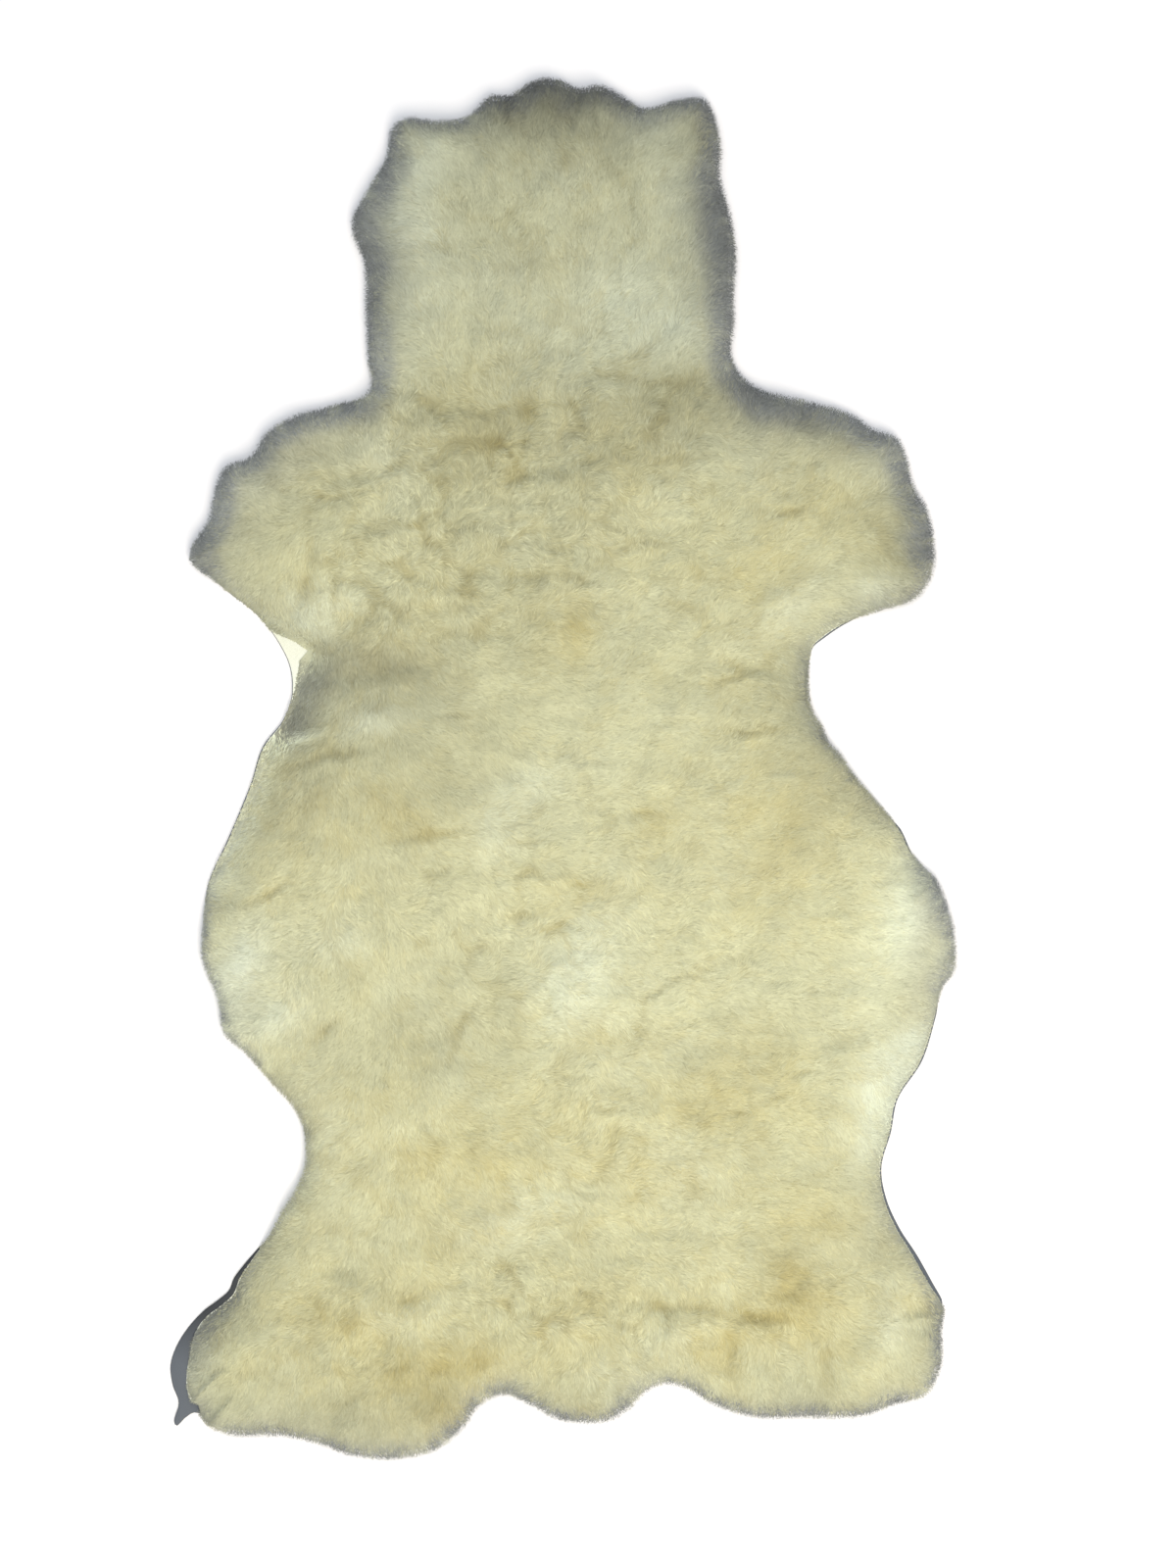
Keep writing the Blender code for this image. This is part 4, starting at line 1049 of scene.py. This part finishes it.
class SHEEPSKIN_OT_make_skin(bpy.types.Operator):
    """Makes the tanned skin: sueded underside, cut edge, and grain where the wool stops short"""
    bl_idname = "sheepskin.make_skin"
    bl_label = "Tanned skin"

    def execute(self, context):
        skin = context.scene.sheepskin_skin
        chart = chart_of(context.scene)
        bm = bmesh.new()
        add_sheet(bm, *self.lay_out(chart, skin.spacing))
        bmesh.ops.recalc_face_normals(bm, faces=bm.faces)
        under = bm.faces[:]
        raised = bmesh.ops.extrude_face_region(bm, geom=under)["geom"]
        top = [item for item in raised if isinstance(item, bmesh.types.BMVert)]
        grain = [item for item in raised if isinstance(item, bmesh.types.BMFace)]
        bmesh.ops.translate(bm, verts=top, vec=(0, 0, skin.thickness))
        self.lean_in(chart, top)
        bmesh.ops.recalc_face_normals(bm, faces=bm.faces)
        for face in bm.faces:
            face.material_index = CUT
        for face in grain:
            face.material_index = GRAIN
        for face in under:
            if face.is_valid:
                face.material_index = SUEDE
        rim = [e for e in bm.edges if len({f.material_index for f in e.link_faces}) == 2]
        bmesh.ops.bevel(bm, geom=rim, offset=CUT_BEVEL, offset_type="OFFSET", segments=1,
                        profile=0.5, affect="EDGES", material=-1)
        self.paint_shadow_band(bm, chart)
        self.settle(bm, chart, skin)
        finished(bm, "pelt_skin",
                 leather("grain_leather", skin.grain_colour, grain=0.9 * MM, roughness=0.55,
                         blotch=0.05),
                 leather("sueded_leather", skin.suede_colour, grain=0.5 * MM, roughness=0.9,
                         blotch=0.14),
                 # The cut edge's dark colour is painted shade, darkest in the painted shadow at the
                 # left hind.
                 leather("cut_leather_edge", skin.cut_shade_colour, grain=0.4 * MM, roughness=0.8,
                         blotch=0.62, shadow_darkest_at=PAINTED_SHADOW_DARKEST))
        return {"FINISHED"}

    def lay_out(self, chart, spacing):
        """The ring of the skin's edge, and the points inside it."""
        distances = chart.edge.evenly(SKIN_STEP)
        places, reach = chart.edge.at(distances)
        lean = chart.read(places[:, 0], places[:, 1], "lean")
        ring = chart.edge.inset(distances, np.maximum(reach, 0))
        x, y = even_grid(ring.min(axis=0), ring.max(axis=0), spacing)
        inner = self.inside(chart, x, y) > SKIN_RINGS[-1] + spacing * 0.55
        points = [np.stack((x[inner], y[inner]), axis=1),
                  chart.line(distances[lean > CUT_MOST], self.inside)]
        for inset, every in zip(SKIN_RINGS, (1, 2)):
            points.append(chart.line(distances[::every],
                                     lambda *place: self.inside(*place) - inset))
        return ring, np.vstack(points)

    def lean_in(self, chart, top):
        """Moves the top's border in, so that the cut leans out and shows from above."""
        border = [vertex for vertex in top
                  if any(face.normal.z ** 2 < 0.5 for face in vertex.link_faces)]
        places = place_array(border)
        out_x, out_y, lean = chart.read(places[:, 0], places[:, 1], "out_x", "out_y", "lean")
        # The painted-shadow band lies flat, so the cut beyond it leans no more than it does
        # elsewhere.
        lean = lean + (CUT_SLOPE - lean) * smooth(lean, 0.9 * CUT_MOST, 1.2 * CUT_MOST)
        for vertex, shift_x, shift_y in zip(border, lean * out_x, lean * out_y):
            vertex.co.x -= shift_x
            vertex.co.y -= shift_y

    def paint_shadow_band(self, bm, chart):
        """Gives the grain outside the wool's line the cut's dark colour, a band of painted shadow.
        """
        bm.verts.index_update()
        places = place_array(bm.verts)
        in_shadow_band = self.inside(chart, places[:, 0], places[:, 1]) < 0.3 * SKIN_RINGS[0]
        for face in bm.faces:
            if face.material_index == GRAIN and all(in_shadow_band[corner.index] for corner in face.verts):
                face.material_index = CUT

    def inside(self, chart, x, y):
        """How far places lie inside the leather's cut, or inside its dried band."""
        depth, reach, lean = chart.read(x, y, "depth", "reach", "lean")
        return depth - np.maximum(reach, 0) - lean

    def settle(self, bm, chart, skin):
        """Curls the bare edges up a little and cockles the underside."""
        places = place_array(bm.verts)
        depth, lifted = chart.read(places[:, 0], places[:, 1], "depth", "lifted")
        wave = 0.5 + 0.5 * ripple(places[:, 0], places[:, 1], COCKLE_WAVE, 22)
        cockle = skin.cockle * wave * smooth(depth, 15 * MM, 40 * MM)
        for vertex, lift, hollow in zip(bm.verts, lifted, cockle):
            vertex.co.z += lift
            if vertex.co.z < skin.thickness / 4:
                vertex.co.z += hollow


class SHEEPSKIN_OT_make_underwool(bpy.types.Operator):
    """Makes the bed of underwool that the combed wool stands in"""
    bl_idname = "sheepskin.make_underwool"
    bl_label = "Underwool"

    def execute(self, context):
        wool = context.scene.sheepskin_wool
        skin = context.scene.sheepskin_skin
        chart = chart_of(context.scene)
        ring = chart.line(chart.edge.evenly(wool.bed_spacing), self.inside)
        x, y = even_grid(ring.min(axis=0), ring.max(axis=0), wool.bed_spacing)
        inner = self.inside(chart, x, y) > wool.bed_spacing * 0.55
        bm = bmesh.new()
        add_sheet(bm, ring, np.stack((x[inner], y[inner]), axis=1))
        bmesh.ops.recalc_face_normals(bm, faces=bm.faces)
        places = place_array(bm.verts)
        height, depth, start = chart.read(places[:, 0], places[:, 1], "height", "depth", "start")
        sink = wool.bed_depth * smooth(depth - start, -4 * MM, 14 * MM)
        bottom = skin.thickness + FOOT_GAP
        for vertex, top, down in zip(bm.verts, height, sink):
            vertex.co.z = max(top - down, bottom + THINNEST_BED)
        border = [e for e in bm.edges if e.is_boundary]
        for item in bmesh.ops.extrude_edge_only(bm, edges=border)["geom"]:
            if isinstance(item, bmesh.types.BMVert):
                item.co.z = bottom
        bmesh.ops.holes_fill(bm, edges=[e for e in bm.edges if e.is_boundary], sides=0)
        bmesh.ops.recalc_face_normals(bm, faces=bm.faces)
        places = place_array(bm.verts)
        piece = finished(bm, "wool_bed", underwool(wool))
        rng = np.random.default_rng(31)
        set_fleece(piece.data, tones(chart, places[:, 0], places[:, 1], rng, 0.0, 0.0))
        return {"FINISHED"}

    def inside(self, chart, x, y):
        """How far places lie inside the line where the underwool starts."""
        depth, reach, rooted = chart.read(x, y, "depth", "reach", "rooted")
        return depth - np.where(reach > WOOLLY, 0.75 * reach + 0.8 * MM, rooted + 0.3 * MM)


def strands(name, chart, x, y, heading, length, width, sink, lift, bend, values, follow, rng):
    """A mesh of strands, each a bent kite of two triangles that follows the wool's surface.

    The strand's tones are `values` at its root; `follow` is how far they change with the chart
    on the way to its tip.
    """
    count = len(x)
    slope_x, slope_y = chart.read(x, y, "slope_x", "slope_y")
    ahead_x, ahead_y = np.cos(heading), np.sin(heading)
    tip_x, tip_y = np.cos(heading + bend), np.sin(heading + bend)
    run = length / np.sqrt(1 + (slope_x * ahead_x + slope_y * ahead_y) ** 2)
    points = np.empty((count, 4, 3))
    normals = np.empty((count, 4, 3))
    fleece = np.empty((count, 4, 4))
    at_root = np.stack(chart.read(x, y, *TONES), axis=1)
    twist = rng.normal(0, 0.15, count)
    lean_x, lean_y = rng.normal(0, 0.06, (2, count))
    # A kite's root, sides and tip: corners, shares of the run before and past its bend, and height.
    for corners, share, past, rise in (((0,), 0.0, 0.0, -sink),
                                       ((1, 2), 0.45, 0.0, 0.4 * lift - 0.15 * sink),
                                       ((3,), 0.45, 0.5, lift)):
        at_x = x + (ahead_x * share + tip_x * past) * run
        at_y = y + (ahead_y * share + tip_y * past) * run
        height, slope_x, slope_y = chart.read(at_x, at_y, "height", "slope_x", "slope_y")
        change = np.stack(chart.read(at_x, at_y, *TONES), axis=1) - at_root
        for corner in corners:
            fleece[:, corner] = values + change * np.reshape(follow, (-1, 1))
            side = {1: -0.5, 2: 0.5}.get(corner, 0.0) * width
            off_x, off_y = -ahead_y * side, ahead_x * side
            points[:, corner, 0] = at_x + off_x
            points[:, corner, 1] = at_y + off_y
            points[:, corner, 2] = height + rise + slope_x * off_x + slope_y * off_y + twist * side
            normals[:, corner, 0] = -slope_x + lean_x
            normals[:, corner, 1] = -slope_y + lean_y
            normals[:, corner, 2] = 1.0
    points[:, :, 2] = np.maximum(points[:, :, 2], LOWEST)
    normals /= np.linalg.norm(normals, axis=2, keepdims=True)
    mesh = bpy.data.meshes.new(name)
    mesh.vertices.add(count * 4)
    mesh.vertices.foreach_set("co", points.astype(np.float32).ravel())
    corners = np.arange(count)[:, None] * 4 + np.array((0, 1, 2, 2, 1, 3))
    mesh.loops.add(count * 6)
    mesh.loops.foreach_set("vertex_index", corners.astype(np.int32).ravel())
    mesh.polygons.add(count * 2)
    mesh.polygons.foreach_set("loop_start", np.arange(0, count * 6, 3, dtype=np.int32))
    mesh.update(calc_edges=True)
    mesh.normals_split_custom_set_from_vertices(normals.reshape(-1, 3))
    set_fleece(mesh, fleece.reshape(-1, 4).clip(0, 1.5))
    along = mesh.attributes.new("along", "FLOAT", "POINT")
    along.data.foreach_set("value", np.tile(np.array((0, 0.5, 0.5, 1), np.float32), count))
    low, high = points.reshape(-1, 3).min(axis=0), points.reshape(-1, 3).max(axis=0)
    flat = (points.reshape(-1, 3) - low)[:, :2] / (high - low)[:2]
    baked = mesh.uv_layers.new(name="OFBake")
    baked.data.foreach_set("uv", flat[corners.ravel()].astype(np.float32).ravel())
    return mesh


class SHEEPSKIN_OT_make_wool(bpy.types.Operator):
    """Makes the combed wool, strand by strand, in five pieces from head to hind"""
    bl_idname = "sheepskin.make_wool"
    bl_label = "Combed wool"

    def execute(self, context):
        wool = context.scene.sheepskin_wool
        chart = chart_of(context.scene)
        rng = np.random.default_rng(41)
        low, high = chart.edge.corners()
        x, y = even_grid(low, high, wool.strand_spacing)
        x += rng.uniform(-0.4, 0.4, len(x)) * wool.strand_spacing
        y += rng.uniform(-0.4, 0.4, len(y)) * wool.strand_spacing
        depth, outermost = chart.read(x, y, "depth", "rooted")
        woolly = depth > np.maximum(outermost, 0.5 * MM)
        x, y = x[woolly], y[woolly]
        fleece = combed_fleece(wool)
        upper = high[1] + 1
        for name, lowest in WOOL_PIECES:
            lower = drawn(0, lowest)[1]
            here = (y >= lower) & (y < upper)
            upper = lower
            mesh = self.comb(name, chart, wool, x[here], y[here], rng)
            new_piece(name, mesh, fleece)
        return {"FINISHED"}

    def comb(self, name, chart, wool, x, y, rng):
        """One piece's strands."""
        depth, reach, start, foot, height, gathered, tuft = chart.read(
            x, y, "depth", "reach", "start", "foot", "height", "gathered", "tuft")
        lock_x, lock_y, lock = cells(x, y, LOCK_SIZE, 43)
        clear = smooth(depth - start, -2 * MM, 30 * MM)
        whirl = np.where(tuft > 0.5, gathered, -gathered)
        lip = np.where(reach > WOOLLY, 0, 1 - smooth(depth - start, 0, 8 * MM))
        heading = self.headings(chart, x, y, whirl, clear, lock_x, lock_y, rng)
        bend = rng.normal(0, 0.25, len(x)) + 0.5 * whirl
        length = wool.strand_length * rng.uniform(0.75, 1.25, len(x))
        length *= (1 - 0.3 * lip) * (0.9 + 0.2 * lock) * (0.75 + 0.25 * clear)
        length = self.trimmed(chart, x, y, heading, length, rng)
        width = wool.strand_width * rng.uniform(0.8, 1.2, len(x))
        width *= 0.6 + 0.4 * np.maximum(clear, lip)
        sink = np.minimum(0.7 * MM, np.maximum(height - foot, 0) * 0.5 + 0.1 * MM)
        lift = rng.uniform(0, 0.2, len(x)) * MM + rng.exponential(0.05, len(x)).clip(0, 1) * MM
        lift += 1.0 * MM * lip
        values = self.fleece_values(chart, x, y, gathered, clear, tuft, lock, rng)
        return strands(name, chart, x, y, heading, length, width, sink, lift, bend, values, clear,
                       rng)

    def headings(self, chart, x, y, whirl, clear, lock_x, lock_y, rng):
        """Where each strand points: as combed, but wavering, into its lock and round its tuft."""
        lay_x, lay_y, tuft_x, tuft_y, gathered = chart.read(
            x, y, "lay_x", "lay_y", "tuft_x", "tuft_y", "gathered")
        turn = (0.15 + 0.6 * gathered) * ripple(x, y, 13 * MM, 44)
        turn += (0.2 + 1.0 * gathered) * ripple(x, y, 30 * MM, 45) + rng.normal(0, 0.2, len(x))
        ahead_x = lay_x * np.cos(turn) - lay_y * np.sin(turn)
        ahead_y = lay_x * np.sin(turn) + lay_y * np.cos(turn)
        ahead_x -= 0.4 * gathered * tuft_x + 1.2 * whirl * tuft_y + 0.1 * clear * lock_x
        ahead_y -= 0.4 * gathered * tuft_y - 1.2 * whirl * tuft_x + 0.1 * clear * lock_y
        return np.arctan2(ahead_y, ahead_x)

    def trimmed(self, chart, x, y, heading, length, rng):
        """The strands' lengths, cut so that they end at the edge and off the bare leather."""
        depth, reach, out_x, out_y, rooted = chart.read(
            x, y, "depth", "reach", "out_x", "out_y", "rooted")
        facing = np.clip(np.cos(heading) * out_x + np.sin(heading) * out_y, 0.15, 1)
        past = np.where(reach > WOOLLY, rng.uniform(-1.5, 1.0, len(x)) * MM, -rooted)
        length = np.minimum(length, np.maximum((depth + past) / facing, 2 * MM))
        bare = chart.read(x + np.cos(heading) * length, y + np.sin(heading) * length, "bare")
        return length * (1 - 0.7 * bare)

    def fleece_values(self, chart, x, y, gathered, clear, tuft, lock, rng):
        """The strands' tones, read near their roots and uneven by tuft, by lock and by strand."""
        values = tones(chart, x, y, rng, 0.05 + 0.025 * gathered + 0.06 * (1 - clear),
                       1.2 * MM + 4.0 * MM * (1 - clear))
        _, stain, grey, shade = values.T    # views, so what follows changes the values
        stain += 0.2 * (tuft - 0.5) + 0.25 * (lock - 0.5) + rng.normal(0, 0.06, len(x))
        # Painted shade: the rim's locks grey and darken the strands.
        locks = chart.read(x, y, "locks")
        grey *= 1 + 0.35 * locks
        shade *= 1 - 0.16 * locks
        # The later digits of a tuft's or lock's chance do for a second one.
        shade += 0.07 * (lock * 7 % 1 - 0.5) + 0.06 * (tuft * 5 % 1 - 0.5)
        return values


class SHEEPSKIN_OT_make_rim_hair(bpy.types.Operator):
    """Makes the long loose hairs that soften the rim"""
    bl_idname = "sheepskin.make_rim_hair"
    bl_label = "Rim hair"

    def execute(self, context):
        wool = context.scene.sheepskin_wool
        chart = chart_of(context.scene)
        edge = chart.edge
        rng = np.random.default_rng(51)
        distances = rng.uniform(0, edge.length, wool.rim_hairs)
        reach = edge.at(distances)[1]
        woolly = reach > WOOLLY
        distances, reach = distances[woolly], reach[woolly]
        inset = rng.uniform(*HAIR_ROOTS, len(distances)) * MM
        places = edge.inset(distances, inset)
        outward = -edge.inward(distances)
        x, y = places[:, 0], places[:, 1]
        turn = 0.5 * ripple(x, y, 14 * MM, 52) + rng.normal(0, 0.3, len(x))
        heading = np.arctan2(outward[:, 1], outward[:, 0]) + turn
        bend = rng.normal(0, 0.4, len(x))
        over = rng.uniform(-0.5, 2.0, len(x)) * MM * np.clip(reach / OVERHANG, 0, 1)
        length = (inset + over) / np.cos(turn).clip(0.5, 1)
        width = rng.uniform(0.12, 0.24, len(x)) * MM
        sink = np.full(len(x), 1.0 * MM)
        lift = rng.uniform(-0.5, 2.5, len(x)) * MM
        values = tones(chart, x, y, rng, 0.06, 2.5 * MM)
        mesh = strands("wool_rim_hair", chart, x, y, heading, length, width, sink, lift, bend,
                       values, 0.0, rng)
        piece = new_piece("wool_rim_hair", mesh, bpy.data.materials["combed_fleece"])
        return {"FINISHED"}


class SHEEPSKIN_OT_set_stage(bpy.types.Operator):
    """Sets the plain floor, the soft lights and the camera over the pelt"""
    bl_idname = "sheepskin.set_stage"
    bl_label = "Studio"

    def execute(self, context):
        scene = context.scene
        stage = scene.sheepskin_stage
        bm = bmesh.new()
        bmesh.ops.create_grid(bm, x_segments=1, y_segments=1, size=FLOOR_HALF)
        mesh = bpy.data.meshes.new("floor")
        bm.to_mesh(mesh)
        bm.free()
        made, _, shader = new_material("plain_floor", Roughness=1.0, Specular_IOR_Level=0.0)
        shader.inputs["Base Color"].default_value = (*stage.floor_colour, 1)
        mesh.materials.append(made)
        floor = bpy.data.objects.new("floor", mesh)
        scene.collection.objects.link(floor)

        self.light(scene, "key", stage.key_power, *KEY_LIGHT)
        self.light(scene, "fill", stage.fill_power, *FILL_LIGHT)
        world = bpy.data.worlds.new("studio")
        world.use_nodes = True
        sky = world.node_tree.nodes["Background"]
        sky.inputs["Color"].default_value = (*linear(SKY_COLOUR), 1)
        sky.inputs["Strength"].default_value = stage.sky_strength
        scene.world = world

        data = bpy.data.cameras.new("camera")
        data.sensor_fit = "VERTICAL"
        data.sensor_height = SENSOR
        data.lens = SENSOR * stage.camera_height / stage.view_height
        camera = bpy.data.objects.new("camera", data)
        camera.location = (*VIEW_MIDDLE, stage.camera_height)
        scene.collection.objects.link(camera)
        scene.camera = camera
        scene.view_settings.view_transform = "Standard"
        return {"FINISHED"}

    def light(self, scene, name, power, place, size, colour):
        """One square soft light that faces the pelt."""
        data = bpy.data.lights.new(name, "AREA")
        data.shape = "SQUARE"
        data.size = size
        data.energy = power
        data.color = linear(colour)
        lamp = bpy.data.objects.new(name, data)
        lamp.location = place
        lamp.rotation_euler = (-Vector(place)).to_track_quat("-Z", "Y").to_euler()
        scene.collection.objects.link(lamp)


class SHEEPSKIN_PT_sidebar(bpy.types.Panel):
    """Lists the sheepskin's pieces and their settings"""
    bl_label = "Sheepskin rug"
    bl_idname = "SHEEPSKIN_PT_sidebar"
    bl_space_type = "VIEW_3D"
    bl_region_type = "UI"
    bl_category = "Sheepskin"

    def draw(self, context):
        for operator in OPERATORS:
            self.layout.operator(operator.bl_idname)
        for group in (context.scene.sheepskin_skin, context.scene.sheepskin_wool,
                      context.scene.sheepskin_stage):
            box = self.layout.box()
            for name in group.bl_rna.properties.keys():
                if name not in ("rna_type", "name"):
                    box.prop(group, name)


OPERATORS = (SHEEPSKIN_OT_make_skin, SHEEPSKIN_OT_make_underwool, SHEEPSKIN_OT_make_wool,
             SHEEPSKIN_OT_make_rim_hair, SHEEPSKIN_OT_set_stage)
SETTINGS = {"sheepskin_skin": SkinSettings, "sheepskin_wool": WoolSettings,
            "sheepskin_stage": StageSettings}


def register():
    for made in (*SETTINGS.values(), *OPERATORS, SHEEPSKIN_PT_sidebar):
        bpy.utils.register_class(made)
    for name, settings in SETTINGS.items():
        setattr(bpy.types.Scene, name, PointerProperty(type=settings))


def unregister():
    for name in SETTINGS:
        delattr(bpy.types.Scene, name)
    for made in reversed((*SETTINGS.values(), *OPERATORS, SHEEPSKIN_PT_sidebar)):
        bpy.utils.unregister_class(made)


def main():
    """Makes every piece and the stage."""
    register()
    bpy.ops.sheepskin.make_skin()
    bpy.ops.sheepskin.make_underwool()
    bpy.ops.sheepskin.make_wool()
    bpy.ops.sheepskin.make_rim_hair()
    bpy.ops.sheepskin.set_stage()


if __name__ == "__main__":
    main()
